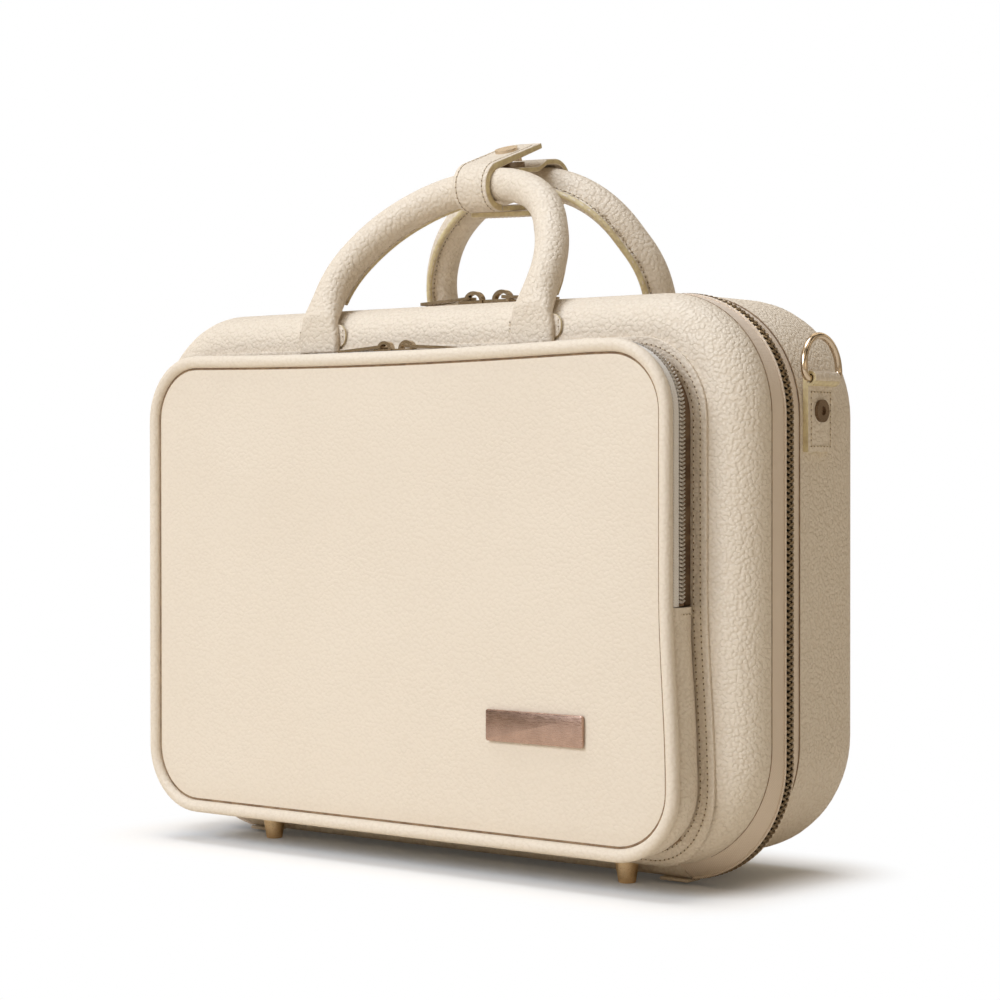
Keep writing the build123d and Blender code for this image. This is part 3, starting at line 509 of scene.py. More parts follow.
def face_out(piece):
    """Turns an open wall's faces away from the case's middle line."""
    middle = (SHELL_BOTTOM + SHELL_HEIGHT / 2) * MM
    outward = sum(face.normal.x * face.center.x + face.normal.z * (face.center.z - middle)
                  for face in piece.data.polygons)
    if outward < 0:
        edit(piece)
        bpy.ops.mesh.flip_normals()
        finish_edit()


def cut(piece, planes):
    """Cuts a piece's faces along planes."""
    for point, direction in planes:
        edit(piece)
        bpy.ops.mesh.bisect(plane_co=point, plane_no=direction)
    finish_edit()


def cut_away(piece, planes, test):
    """Cuts a piece along planes and takes out the faces that pass a test."""
    cut(piece, planes)
    edit(piece)
    choose_faces(piece, test)
    bpy.ops.mesh.delete(type="FACE")
    finish_edit()


def inset_all(piece, widths):
    """Insets a flat piece's one face again and again, and stays in edit mode."""
    edit(piece)
    bpy.ops.mesh.select_mode(type="FACE")
    bpy.ops.mesh.select_all(action="SELECT")
    for width in widths:
        bpy.ops.mesh.inset(thickness=width * MM)


def divide(piece, test, cuts):
    """Divides the edges whose two ends pass a test."""
    edit(piece)
    choose_edges(piece, test)
    bpy.ops.mesh.subdivide(number_cuts=cuts)
    finish_edit()


def modify(piece, kind, **values):
    alone(piece)
    modifier = piece.modifiers.new(kind.lower(), kind)
    for key, value in values.items():
        setattr(modifier, key, value)
    bpy.ops.object.modifier_apply(modifier=modifier.name)


def soften(piece, width, segments, angle):
    """Bevels the edges of a piece that are sharper than an angle."""
    modify(piece, "BEVEL", width=width * MM, segments=segments, limit_method="ANGLE",
           angle_limit=radians(angle))


def thicken(piece, thickness, offset=-1.0, **values):
    modify(piece, "SOLIDIFY", thickness=thickness * MM, offset=offset, **values)


def coat(piece, *finishes):
    for finish in finishes:
        piece.data.materials.append(finish)


def smoothed(piece, angle):
    alone(piece)
    bpy.ops.object.shade_smooth_by_angle(angle=radians(angle))


def dress(piece, body, slot, *finishes, smooth=35, instead=None):
    """Gives a piece its finishes and its body, smooths it, and hides the solid it stands for; its slot is not
    used.
    """
    coat(piece, *finishes)
    smoothed(piece, smooth)
    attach(piece, body)
    if instead:
        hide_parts(instead)


def paint(piece, finish, test):
    """Gives one finish to the faces whose centre (in millimetres) and direction pass a test."""
    coat(piece, finish)
    index = len(piece.data.materials) - 1
    for face in piece.data.polygons:
        if test(face.center / MM, face.normal):
            face.material_index = index


def copy_of(node, name):
    """A copy of a solid's mesh as a new piece, with its doubles merged."""
    piece = new_object(name, nodes[node].data.copy())
    piece.data.materials.clear()
    edit(piece)
    bpy.ops.mesh.remove_doubles(threshold=0.00001)
    bpy.ops.mesh.select_all(action="SELECT")
    bpy.ops.mesh.dissolve_limited(angle_limit=radians(1))
    finish_edit()
    return piece


def set_out(small, places, name):
    """Copies a small piece to many places, each copy with its own mesh, as one piece."""
    copies = []
    for place in places:
        mesh = small.data.copy()
        mesh.transform(place)
        copies.append(new_object(name, mesh))
    bpy.data.objects.remove(small)
    return joined(copies, name)


def tube_along(name, rows, radius, resolution):
    """A round cord along open rows of points."""
    cord = bpy.data.curves.new(name, "CURVE")
    cord.dimensions = "3D"
    cord.bevel_depth = radius * MM
    cord.bevel_resolution = resolution
    cord.use_fill_caps = True
    for row in rows:
        if len(row) > 1:
            run = cord.splines.new("POLY")
            run.points.add(len(row) - 1)
            for spot, point in zip(run.points, row):
                spot.co = (*point, 1)
    piece = new_object(name, cord)
    alone(piece)
    bpy.ops.object.convert(target="MESH")
    return piece


def reshape(piece, move):
    """Moves every point by what a function says of its place: across, depth from the zip plane and up."""
    for vertex in piece.data.vertices:
        x, y, z = vertex.co / MM
        vertex.co += Vector(move(x, y - ZIP_Y, z)) * MM


def span(piece, smooth=35):
    """Smooths a soft piece that reaches from one body to another, and bakes its place into its mesh."""
    smoothed(piece, smooth)
    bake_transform(piece)


def strap_over(piece, node, body, width, segments, rim=None):
    """Makes a solid's copy a piece of strap leather with soft edges, painted where a test says so."""
    soften(piece, width, segments, 45)
    coat(piece, STRAP_LEATHER)
    if rim:
        paint(piece, PAINTED_EDGE, rim)
    dress(piece, body, "strap_leather", instead=node)


def share(value):
    """A value kept between none and all."""
    return min(1.0, max(0.0, value))


def eased(value):
    """A share that starts and ends softly."""
    part = share(value)
    return part * part * (3 - 2 * part)


def shrunk(shape, inset):
    """A rounded rectangle that lies inside another by an inset."""
    return dict(width=shape["width"] - 2 * inset, height=shape["height"] - 2 * inset,
                low=shape["low"] + inset, corner=shape["corner"] - inset)


def edge_distance(x, z, width, height, low, corner):
    """How far inside a rounded rectangle a point is."""
    dx = abs(x) - (width / 2 - corner)
    dz = abs(z - low - height / 2) - (height / 2 - corner)
    outside = hypot(max(dx, 0.0), max(dz, 0.0))
    return corner - outside - min(max(dx, dz), 0.0)


# Places along lines

def walk_bends(points, bends, pitch, start):
    """Evenly spaced places and headings along a line that turns right round each of its corners."""
    corners = [Vector(point) for point in points]
    runs = []
    last = corners[0]
    for index, radius in enumerate(bends):
        corner = corners[index + 1]
        came = (corner - corners[index]).normalized()
        goes = (corners[index + 2] - corner).normalized()
        turn = came.angle(goes)
        reach = radius * tan(turn / 2)
        first = corner - came * reach
        runs.append(((first - last).length, last, came, 0.0))
        runs.append((radius * turn, first, came, radius))
        last = corner + goes * reach
    runs.append(((corners[-1] - last).length, last, (corners[-1] - last).normalized(), 0.0))
    places = []
    along = start
    for length, origin, direction, radius in runs:
        while along < length:
            if radius:
                turn = along / radius
                right = Vector((direction.y, -direction.x))
                point = origin + right * radius * (1 - cos(turn)) + direction * radius * sin(turn)
                heading = direction * cos(turn) + right * sin(turn)
            else:
                point = origin + direction * along
                heading = direction
            places.append((point, heading))
            along += pitch
        along -= length
    return places


def walk_outline(shape, pitch, inset=0.0, start=0.0):
    """Evenly spaced places on a rounded rectangle, clockwise from the middle of its bottom:
    x, z, the way along it and the way out."""
    side = shape["width"] / 2 - inset
    low, high = shape["low"] + inset, shape["low"] + shape["height"] - inset
    corners = ((0, low), (-side, low), (-side, high), (side, high), (side, low), (0, low))
    return [(point.x, point.y, Vector((heading.x, 0, heading.y)), Vector((-heading.y, 0, heading.x)))
            for point, heading in walk_bends(corners, [shape["corner"] - inset] * 4, pitch, start)]


def frame_at(place, along, out):
    """Matrix that puts a small piece at a place: its y along the row and its z outwards."""
    along = along.normalized()
    out = (out - along * out.dot(along)).normalized()
    turn = Matrix((along.cross(out), along, out)).transposed().to_4x4()
    return Matrix.Translation(place) @ turn


def one_stitch(length, thick):
    """A short raised thread and the slot of the needle hole at its end, coloured near black as painted shade.
    """
    strand = cuboid("strand", (0, 0, 0.05 * MM), (thick * MM, length * MM, 0.36 * MM))
    edit(strand)
    bpy.ops.mesh.bevel(offset=0.14 * MM, segments=1, affect="EDGES")
    finish_edit()
    bpy.ops.object.select_all(action="DESELECT")
    bpy.ops.mesh.primitive_circle_add(vertices=8, radius=thick * 0.62 * MM, fill_type="NGON",
                                      location=(0, 0, 0.06 * MM))
    hole = bpy.context.object
    edit(hole)
    bpy.ops.mesh.extrude_region_move(TRANSFORM_OT_translate={"value": (0, 0, -0.3 * MM)})
    bpy.ops.mesh.select_all(action="SELECT")
    bpy.ops.transform.resize(value=(1, 1.4, 1), center_override=(0, 0, 0))
    bpy.ops.transform.translate(value=(0, (length / 2 + thick * 0.7) * MM, 0))
    bpy.ops.mesh.normals_make_consistent(inside=False)
    finish_edit()
    coat(strand, WAXED_THREAD, HOLE)
    coat(hole, HOLE)
    return joined([strand, hole], "stitch")


def stitched(name, places, body, length, thick=0.4):
    """A row of stitches at places given as matrices."""
    dress(set_out(one_stitch(length, thick), places, name), body, "strap_leather", smooth=50)


def rows_along(points, out, pitch=FINE_PITCH):
    """Places for stitches along straight runs between points in metres."""
    places = []
    for first, last in zip(points, points[1:]):
        run = last - first
        count = max(1, round(run.length / (pitch * MM)))
        for step in range(count):
            places.append(frame_at(first + run * ((step + 0.5) / count), run, out))
    return places


# The two halves

def half_skin(name, inset, near, far, roll, wall):
    """One half as a hollow skin with rounded corners and a rolled face, open at its rim."""
    low_y, high_y = sorted((near, far))
    side = CASE_WIDTH / 2 - inset
    piece = block(name, (-side, low_y, SHELL_BOTTOM + inset), (side, high_y, SHELL_TOP - inset))
    round_corners(piece, CORNER - inset, 16)
    edit(piece)
    choose_edges(piece, lambda a, b: abs(a.y - ZIP_Y - far) < 0.01 and abs(b.y - ZIP_Y - far) < 0.01)
    bpy.ops.mesh.bevel(offset=(roll - inset) * MM, segments=9, affect="EDGES")
    choose_faces(piece, lambda c, n: abs(c.y - ZIP_Y - near) < 0.01)
    bpy.ops.mesh.delete(type="FACE")
    finish_edit()
    thicken(piece, wall, use_even_offset=True, material_offset_rim=1)
    return piece


def cover(name, near, far, roll, body):
    """Leather skin of one half, its cut rim painted where the zip tape is sewn in."""
    piece = half_skin(name, 0.0, near, far, roll, LEATHER)
    coat(piece, SHELL_LEATHER, PAINTED_EDGE)
    soften(piece, 0.45, 2, 50)
    dress(piece, body, "shell_leather", instead=body + "_cover")


def plush_lining(name, near, far, roll, body):
    """Plush skin inside one half."""
    piece = half_skin(name, LINING_INSET, near, far, roll, LINING_WALL)
    dress(piece, body, "lining_plush", PLUSH_FINISH, instead=body + "_lining")


def lid_cushion():
    """Padded plush cushion inside the lid, crowned between its edges."""
    side = CUSHION["width"] / 2
    piece = block("lid_cushion", (-side, CUSHION_DEPTH, CUSHION["low"]),
                  (side, CUSHION_DEPTH + CUSHION_THICK, CUSHION["low"] + CUSHION["height"]))
    round_corners(piece, CUSHION["corner"], 10)
    edit(piece)
    choose_faces(piece, lambda c, n: n.y > 0.9)
    for width in (1.5, 2.5, 4.0, 6.0, 9.0, 14.0):
        bpy.ops.mesh.inset(thickness=width * MM)
    finish_edit()

    def crown(x, depth, z):
        if depth <= CUSHION_DEPTH + CUSHION_THICK - 1:
            return 0, 0, 0
        away = edge_distance(x, z, **CUSHION)
        return 0, -4.6 * (1 - share(away / 12.0)) ** 2 + 0.9 * share(away / 40.0), 0

    reshape(piece, crown)
    soften(piece, 0.6, 2, 60)
    dress(piece, "lid", "lining_plush", PLUSH_FINISH, instead="lid_pad")


def lid_face(x, z):
    """Depth of the lid's outer skin at a place across its face."""
    away = share(edge_distance(x, z, **SHELL) / LID_ROLL)
    return -(LID_DEPTH - LID_ROLL + LID_ROLL * sqrt(1 - (1 - away) ** 2))


def by_hinge(x, z, spare=0.0):
    """Whether a place on the zip's line is between its two ends, where the leather hinge is."""
    return abs(x) < ZIP_END_X + spare and z < ZIP_END_TOP


def main_zip_tape(name, sewn_depth, teeth_depth, body):
    """Woven tape of one half; along the bottom corners it slants down to the zip."""
    sewn = outline(name, SHELL, TAPE_INSET, sewn_depth)
    by_teeth = outline(name + "_teeth", ZIP_LINE, TAPE_INSET, teeth_depth)
    piece = bridged([sewn, by_teeth], name)
    cut_away(piece, [((side * ZIP_END_X * MM, 0, 0), (1, 0, 0)) for side in (-1, 1)],
             lambda c, n: by_hinge(c.x, c.z))
    face_out(piece)
    thicken(piece, 0.8)
    dress(piece, body, "zip_tape", ZIP_TAPE, instead=body + "_zip_tape")


def slanted(piece, slant):
    """Turns a small piece to its slant about the way out, and ends its editing."""
    bpy.ops.mesh.select_all(action="SELECT")
    bpy.ops.transform.rotate(value=radians(slant), orient_axis="Z", center_override=(0, 0, 0))
    finish_edit()
    return piece


def one_tooth(slant):
    """A stamped zip tooth: a bar across the tape with a rounded head, set at a slant."""
    tooth = cuboid("tooth", (0.68 * MM, 0, -0.35 * MM), (2.5 * MM, 1.1 * MM, 1.5 * MM))
    edit(tooth)
    choose_faces(tooth, lambda c, n: n.x > 0.9)
    bpy.ops.mesh.inset(thickness=0.16 * MM)
    bpy.ops.mesh.extrude_region_move(TRANSFORM_OT_translate={"value": (0.5 * MM, 0, 0)})
    choose_edges(tooth, lambda a, b: a.z > 0.2 and b.z > 0.2)
    bpy.ops.mesh.bevel(offset=0.26 * MM, segments=1, affect="EDGES")
    return slanted(tooth, slant)


def main_zip_teeth(name, half_side, body, start):
    """Row of metal teeth of one half, set so that the two rows mesh."""
    places = []
    for x, z, along, out in walk_outline(ZIP_LINE, TOOTH_PITCH, start=start):
        if not by_hinge(x, z, 0.5):
            place = at(x, half_side * TOOTH_ROOT, z) + out * 0.1 * MM
            places.append(frame_at(place, along * half_side, out))
    piece = set_out(one_tooth(-16 * half_side), places, name)
    dress(piece, body, "zip_metal", TEETH, smooth=30, instead=body + "_zip_teeth")


def tape_cord(name, half_side, body):
    """Corded edge of a zip tape, where the teeth are clamped."""
    rows = [[]]
    for x, z, _, _ in walk_outline(ZIP_LINE, TOOTH_PITCH, 0.15):
        if by_hinge(x, z):
            rows.append([])
        else:
            rows[-1].append(at(x, half_side * (TAPE_EDGE - 0.25), z))
    dress(tube_along(name, rows, 0.5, 2), body, "zip_tape", ZIP_TAPE, smooth=60)


def tape_shade_line(name, depth, body):
    """Dark line of painted shade where a half's leather edge is folded in over its zip tape."""
    row = [at(x, depth, z) - out * 0.22 * MM for x, z, _, out in walk_outline(SHELL, FINE_PITCH) if z > 12]
    dress(tube_along(name, [row], 0.26, 1), body, "shell_leather", PAINTED_SHADE, smooth=60)


def hinge_fabric():
    """Sagging strip along the bottom that joins the two halves."""
    piece = copy_of("hinge_strip", "hinge_leather")
    coat(piece, SHELL_LEATHER)
    span(piece)
    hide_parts("hinge_strip")


def make_halves():
    cover("base_skin", BASE_TAPE, BASE_DEPTH, BASE_ROLL, "base")
    cover("lid_skin", LID_TAPE, -LID_DEPTH, LID_ROLL, "lid")
    plush_lining("base_plush", LINING_RIM, BASE_DEPTH - LINING_INSET, BASE_ROLL, "base")
    plush_lining("lid_plush", -LINING_RIM, LINING_INSET - LID_DEPTH, LID_ROLL, "lid")
    lid_cushion()
    main_zip_tape("base_tape", BASE_TAPE, TAPE_EDGE, "base")
    main_zip_tape("lid_tape", LID_TAPE, -TAPE_EDGE, "lid")
    main_zip_teeth("base_teeth", 1, "base", 0.0)
    main_zip_teeth("lid_teeth", -1, "lid", TOOTH_PITCH / 2)
    tape_cord("base_tape_cord", 1, "base")
    tape_cord("lid_tape_cord", -1, "lid")
    tape_shade_line("lid_tape_shade_line", LID_TAPE + 0.12, "lid")
    tape_shade_line("base_tape_shade_line", BASE_TAPE - 0.12, "base")
    hinge_fabric()


# The pocket

def settled(x, z):
    """How far a point of the filled pocket settles outwards: its lower right side bulges a little."""
    return BULGE * eased((BULGE_TOP - z) / BULGE_REACH) * max(0.0, x - BULGE_FROM) / BULGE_REACH


def settle_piece(piece):
    reshape(piece, lambda x, depth, z: (settled(x, z), 0, 0))


def pocket_border():
    """Cut leather border that is sewn flat on the lid round the pocket."""
    piece = outline("pocket_border", BORDER, 0.0, -LID_DEPTH)
    inset_all(piece, (1.2, 1.2, 1.2, 1.2, 1.1, 1.1))
    bpy.ops.mesh.delete(type="FACE")
    finish_edit()
    divide(piece, lambda a, b: (a - b).length > LONG_EDGE, 12)
    reshape(piece, lambda x, depth, z: (0, lid_face(x, z) - depth, 0))
    settle_piece(piece)
    thicken(piece, LEATHER, 1.0, material_offset_rim=1)
    coat(piece, SHELL_LEATHER, PAINTED_EDGE)
    soften(piece, 0.3, 2, 55)
    dress(piece, "lid", "shell_leather", instead="pocket_flange")


def border_stitches():
    """Two rows of stitches on the border: one near its cut edge, one beside the pocket's wall."""
    places = []
    for inset, pitch in ((2.6, 2.1), (5.5, 2.4)):
        for x, z, along, _ in walk_outline(BORDER, pitch, inset):
            slope_x = lid_face(x + 0.5, z) - lid_face(x - 0.5, z)
            slope_z = lid_face(x, z + 0.5) - lid_face(x, z - 0.5)
            normal = Vector((slope_x, -1, slope_z)).normalized()
            place = at(x + settled(x, z), lid_face(x, z), z) + normal * (LEATHER + 0.05) * MM
            places.append(frame_at(place, along, normal))
    stitched("border_stitches", places, "lid", 1.35, 0.45)


def pocket_gusset():
    """Leather side wall of the pocket's lower part, hemmed where the zip ends, sewn under the border."""
    section = [(0.9, 0.2), (-0.9, 1.6), (-1.9, 4.0), (-2.0, 7.0), (-1.6, 9.6), (-0.7, 11.6), (0.8, 12.9),
               (1.6, 13.5), (-0.6, 14.6)]
    piece = bridged([outline("gusset_line", POCKET, inset, WALL_FRONT + behind) for inset, behind in section],
                    "gusset_leather")
    hem = FOLD - HEM
    top = FOLD - 0.15
    cut_away(piece, [((0, 0, height * MM), (0, 0, 1)) for height in (top, hem, hem - 0.3)],
             lambda c, n: c.z > top)
    divide(piece, lambda a, b: abs(a.z - b.z) > 20 or abs(a.x - b.x) > 20, 24)
    face_out(piece)

    def wrinkle(x, depth, z):
        fold = noise.noise(Vector((x * 0.02, (depth + ZIP_Y) * 0.16, z * 0.05))) * 1.1
        fold *= share(1 - abs(depth - WALL_FRONT - 6.5) / 6.5) * share((FOLD - z) / 12.0)
        side = Vector((x, 0, (z - POCKET_BOTTOM - POCKET["height"] / 2) * 0.7)).normalized()
        return side * (fold + (0.35 if z > hem - 0.1 else 0.0))

    reshape(piece, wrinkle)
    settle_piece(piece)
    thicken(piece, 1.0)
    coat(piece, SHELL_LEATHER)
    # The gusset's foot, tucked under the border, is painted shade
    paint(piece, PAINTED_SHADE, lambda c, n: c.y - ZIP_Y > WALL_FRONT + 13.0)
    dress(piece, "lid", "shell_leather", smooth=60, instead="pocket_gusset")


def hem_stitches():
    """Stitches across the two hems at the ends of the pocket zip."""
    places = []
    for side in (-1, 1):
        x = side * (POCKET["width"] / 2 + 2.35)
        x += settled(x, FOLD - HEM)
        ends = [at(x, WALL_FRONT + behind, FOLD - HEM) for behind in (3.0, 10.4)]
        places += rows_along(ends, Vector((side, 0, 0)))
    stitched("hem_stitches", places, "lid", 1.1)


def pocket_tapes():
    """Woven tapes each side of the pocket's coils; the inner one sinks behind the border."""
    outer = ((0.9, WALL_FRONT), (-1.2, WALL_FRONT + 0.8), (-1.2, COIL_DEPTH - 1.7), (-0.2, COIL_DEPTH - 1.3),
             (-0.2, COIL_DEPTH - 0.15))
    inner = ((-0.2, COIL_DEPTH + 0.15), (-0.2, COIL_DEPTH + 2.6), (1.2, COIL_DEPTH + 4.0),
             (3.4, FLANGE_FACE - 1.6), (3.6, FLANGE_FACE), (0.2, FLANGE_FACE + 1.0))
    end = FOLD + 0.15
    for kind, section, body in (("outer", outer, "pocket_flap"), ("inner", inner, "lid")):
        piece = bridged([outline("tape_line", POCKET, inset, depth) for inset, depth in section],
                        f"pocket_{kind}_weave")
        cut_away(piece, [((0, 0, end * MM), (0, 0, 1))], lambda c, n: c.z < end)
        face_out(piece)
        thicken(piece, 0.6)
        coat(piece, POCKET_TAPE)
        # Painted shade: the strip of outer tape beside the coil and all of the inner tape, sunk under the
        # border
        paint(piece, PAINTED_SHADE, lambda c, n: c.y - ZIP_Y > COIL_DEPTH - 1.6)
        dress(piece, body, "zip_tape", instead=f"pocket_{kind}_tape")


def one_coil_turn(slant):
    """One slanting turn of a nylon coil."""
    bpy.ops.object.select_all(action="DESELECT")
    bpy.ops.mesh.primitive_cylinder_add(vertices=8, radius=0.42 * MM, depth=1.9 * MM, rotation=(0, pi / 2, 0))
    turn = bpy.context.object
    bpy.ops.object.transform_apply()
    edit(turn)
    choose_faces(turn, lambda c, n: abs(n.x) > 0.9)
    bpy.ops.mesh.inset(thickness=0.14 * MM)
    bpy.ops.mesh.select_all(action="SELECT")
    bpy.ops.transform.resize(value=(0.8, 1.0, 1.8), center_override=(0, 0, 0))
    return slanted(turn, slant)


def pocket_coils():
    """Two rows of coil along the pocket's zip."""
    for kind, side, body in (("outer", -1, "pocket_flap"), ("inner", 1, "lid")):
        places = []
        for x, z, along, out in walk_outline(POCKET, COIL_PITCH, -0.85):
            if z >= FOLD + 0.9:
                places.append(frame_at(at(x, COIL_DEPTH + 0.3 + side * 0.85, z), along * side, out))
        piece = set_out(one_coil_turn(-26 * side), places, f"{kind}_coil_turns")
        dress(piece, body, "zip_coil", COIL, smooth=60, instead=f"pocket_{kind}_coil")


def sag(x, z):
    """How far the pocket's top edge sags at a place across it."""
    across = sin(pi * share((x - SAG_LEFT) / (SAG_RIGHT - SAG_LEFT)))
    return -SAG * across * share((z - SAG_FROM) / SAG_REACH)


def bent_at_fold(piece, slot, *solids):
    """Smooths a piece of the pocket's front that reaches across the fold, and hides the two solids it stands
    in place of.
    """
    span(piece, 60)
    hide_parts(*solids)


def pocket_cord():
    """Piping round the pocket's front, one cord across the fold."""
    piece = outline("pocket_cord", POCKET, 0.0, PIPING_DEPTH)
    edit(piece)
    bpy.ops.mesh.delete(type="ONLY_FACE")
    finish_edit()
    divide(piece, lambda a, b: (a - b).length > LONG_EDGE, 40)
    reshape(piece, lambda x, depth, z: (0, 0, sag(x, z)))
    settle_piece(piece)
    alone(piece)
    bpy.ops.object.convert(target="CURVE")
    piece.data.bevel_depth = (PIPING - 0.05) * MM
    piece.data.bevel_resolution = 4
    bpy.ops.object.convert(target="MESH")
    piece.data.materials.clear()
    coat(piece, SMOOTH_STRAP)
    bent_at_fold(piece, "strap_leather", "pocket_piping_lower", "pocket_piping_upper")


def pocket_front():
    """Front panel of the pocket: one soft sheet inside the piping, a little crowned."""
    inset = PIPING * 0.62
    panel = shrunk(POCKET, inset)
    piece = outline("pocket_front", POCKET, inset, PIPING_DEPTH - 0.1)
    inset_all(piece, (1.75, 1.3, 2.0, 3.5))
    finish_edit()
    cut(piece, [((step * 8 * MM, 0, 0), (1, 0, 0)) for step in range(-14, 15)]
        + [((0, 0, (POCKET_BOTTOM + step * 7) * MM), (0, 0, 1)) for step in range(1, 26)])

    def soft(x, depth, z):
        away = edge_distance(x, z, **panel)
        crown = 1 - (1 - share(away / 9.0)) ** 2
        wave = noise.noise(Vector((x * 0.012, 0.3, z * 0.016))) * 0.7 * share(away / 25.0)
        pulled = share(1 - hypot(x + 88, z - 158) / 62) * share(away / 8.0)
        wave += 0.55 * sin((x + 0.45 * z) * 2 * pi / 27) * pulled ** 1.5
        wave *= share(hypot((x - BADGE_X) / 40, (z - BADGE_Z) / 20) - 0.6)
        return 0, 0.45 - crown - wave, sag(x, z) * (1 - share(away / 60.0))

    reshape(piece, soft)
    settle_piece(piece)
    thicken(piece, 1.2)
    coat(piece, PANEL_LEATHER)
    # A ring along the panel's edge by the piping is painted shade
    paint(piece, PAINTED_SHADE,
          lambda c, n: edge_distance(c.x - settled(c.x, c.z), c.z - sag(c.x, c.z), **panel) < 1.7)
    bent_at_fold(piece, "shell_leather", "pocket_panel_lower", "pocket_panel_upper")


def make_pocket():
    pocket_border()
    border_stitches()
    pocket_gusset()
    hem_stitches()
    pocket_tapes()
    pocket_coils()
    pocket_cord()
    pocket_front()


# Handles

def handle_end(name, origin, up, seam, leg, tab_y, bottom):
    """Flared leather end of a handle's leg: from the round tube to a flat wide foot."""
    tube_top = origin + up * CUT_RISE * MM
    steps = [(origin + up * rise * MM, seam) for rise in (CUT_RISE + 1.5, 13.0, 9.5, 6.0, 3.0)]
    straight = Vector((0, 1 if seam.y > 0 else -1, 0))
    start = origin.z / MM - 3.0
    steps += [(Vector((0, tab_y * MM, (start + (bottom - start) * step / 4) * MM)), straight)
              for step in range(5)]
    points = []
    for centre, thin in steps:
        flat = eased((tube_top.z - centre.z) / MM / END_LENGTH)
        wide = TUBE + (END_WIDTH / 2 - TUBE) * flat
        deep = TUBE + (END_THICKNESS / 2 - TUBE) * flat
        for turn in range(RING_POINTS):
            angle = radians(360 * turn / RING_POINTS)
            square = 1 / (abs(cos(angle)) ** 3 + abs(sin(angle)) ** 3) ** (flat / 3) * MM
            points.append(Vector((leg * MM, 0, 0)) + centre + Vector((1, 0, 0)) * cos(angle) * wide * square
                          + thin * sin(angle) * deep * square)
    faces = []
    for ring in range(0, len(points) - RING_POINTS, RING_POINTS):
        for turn in range(RING_POINTS):
            after = (turn + 1) % RING_POINTS
            faces.append([ring + turn, ring + after, ring + RING_POINTS + after, ring + RING_POINTS + turn])
    faces += [list(range(RING_POINTS)), list(range(len(points) - RING_POINTS, len(points)))]
    data = bpy.data.meshes.new(name)
    data.from_pydata(points, [], faces)
    end = new_object(name, data)
    edit(end)
    bpy.ops.mesh.normals_make_consistent(inside=False)
    finish_edit()
    return end


def handle_seam(side, skin, body, origin, up, seam, points, bends):
    """Stitches through both sides of a handle's seam and its painted edge, left out under the wrap."""
    places = []
    rows = [[]]
    for point, heading in walk_bends(points, bends, FINE_PITCH, 1.0):
        if abs(point.x - WRAP_X) < WRAP_WIDTH / 2 + 2.5:
            rows.append([])
            continue
        along = Vector((heading.x, 0, 0)) + up * heading.y
        normal = along.cross(seam)
        centre = origin + (Vector((point.x, 0, 0)) + up * point.y) * MM
        rows[-1].append(centre + seam * SEAM_OUT * MM)
        for way in (-1, 1):
            found, place, _, _ = skin.ray_cast(centre + (seam * 6.9 + normal * way * 6) * MM, -normal * way,
                                               distance=7 * MM)
            if found:
                places.append(frame_at(place + normal * way * 0.05 * MM, along, normal * way))
    stitched(side + "_handle_stitches", places, body, 1.3, 0.45)
    dress(tube_along(side + "_handle_edge", rows, 1.2, 4), body, "strap_leather", PAINTED_EDGE, smooth=60)


def rolled_handle(side, body, pivot, tilt, arch, bends, seam_side, lengthened):
    """Rolled leather handle with its sewn ends: one soft skin over its two solids."""
    lean = radians(tilt)
    up = Vector((0, sin(lean), cos(lean)))
    seam = Vector((0, -cos(lean), sin(lean))) * seam_side
    origin = at(0, *pivot)
    tab_low, tab_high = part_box(side + "_handle_tabs")
    tab_y = (tab_low.y + tab_high.y) / 2 / MM
    roll = copy_of(side + "_handle_cover", side + "_roll")
    edit(roll)
    bpy.ops.mesh.bisect(plane_co=origin + up * CUT_RISE * MM, plane_no=up, clear_inner=True, use_fill=True)
    finish_edit()
    ends = [handle_end(side + "_end", origin, up, seam, leg, tab_y, tab_low.z / MM - lengthened)
            for leg in (arch[0][0], arch[-1][0])]
    piece = joined([roll] + ends, side + "_handle_roll")
    piece.data.remesh_voxel_size = 0.7 * MM
    alone(piece)
    bpy.ops.object.voxel_remesh()
    modify(piece, "SMOOTH", factor=0.6, iterations=8)
    coat(piece, STRAP_LEATHER)
    span(piece, 80)
    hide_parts(side + "_handle_cover", side + "_handle_tabs")
    handle_seam(side, piece, body, origin, up, seam, arch, bends)


def handle_wings(name, body, depth, out, middles, low, high):
    """Leaf-shaped leather backing of a handle's ends, with painted edges and a stitch row each side."""
    places = []
    pieces = []
    front, back = sorted((depth, depth + out))
    for middle in middles:
        wing = block(name, (middle - 12.6, front, low), (middle + 12.6, back, high))
        round_corners(wing, min(4.2, (high - low) / 2 - 0.2), 6)
        soften(wing, 0.3, 2, 50)
        pieces.append(wing)
        for way in (-1, 1):
            row = [at(middle + way * 11.4, depth + out * 1.05, z) for z in (low + 2.2, high - 2.2)]
            places += rows_along(row, Vector((0, out, 0)), 2.0)
    piece = joined(pieces, name)
    coat(piece, STRAP_LEATHER)
    paint(piece, PAINTED_EDGE, lambda c, n: abs(n.y) < 0.5)
    dress(piece, body, "strap_leather")
    stitched(name + "_stitches", places, body, 1.0)


def on_wrap(across, rise, along):
    """A place on the wrap in metres: across from the front tube's centre, up, and along its width."""
    return (WRAP_CENTRE + WRAP_OVER * across + WRAP_UP * rise + WRAP_ALONG * along) * MM


def hug_tube(piece):
    """Draws the loop's inside in to the front handle's tube."""
    for vertex in piece.data.vertices:
        out = vertex.co / MM - WRAP_CENTRE
        out -= WRAP_ALONG * out.dot(WRAP_ALONG)
        if out.length < TUBE + 1.6:
            vertex.co -= out * (1 - (TUBE + 0.4) / out.length) * MM


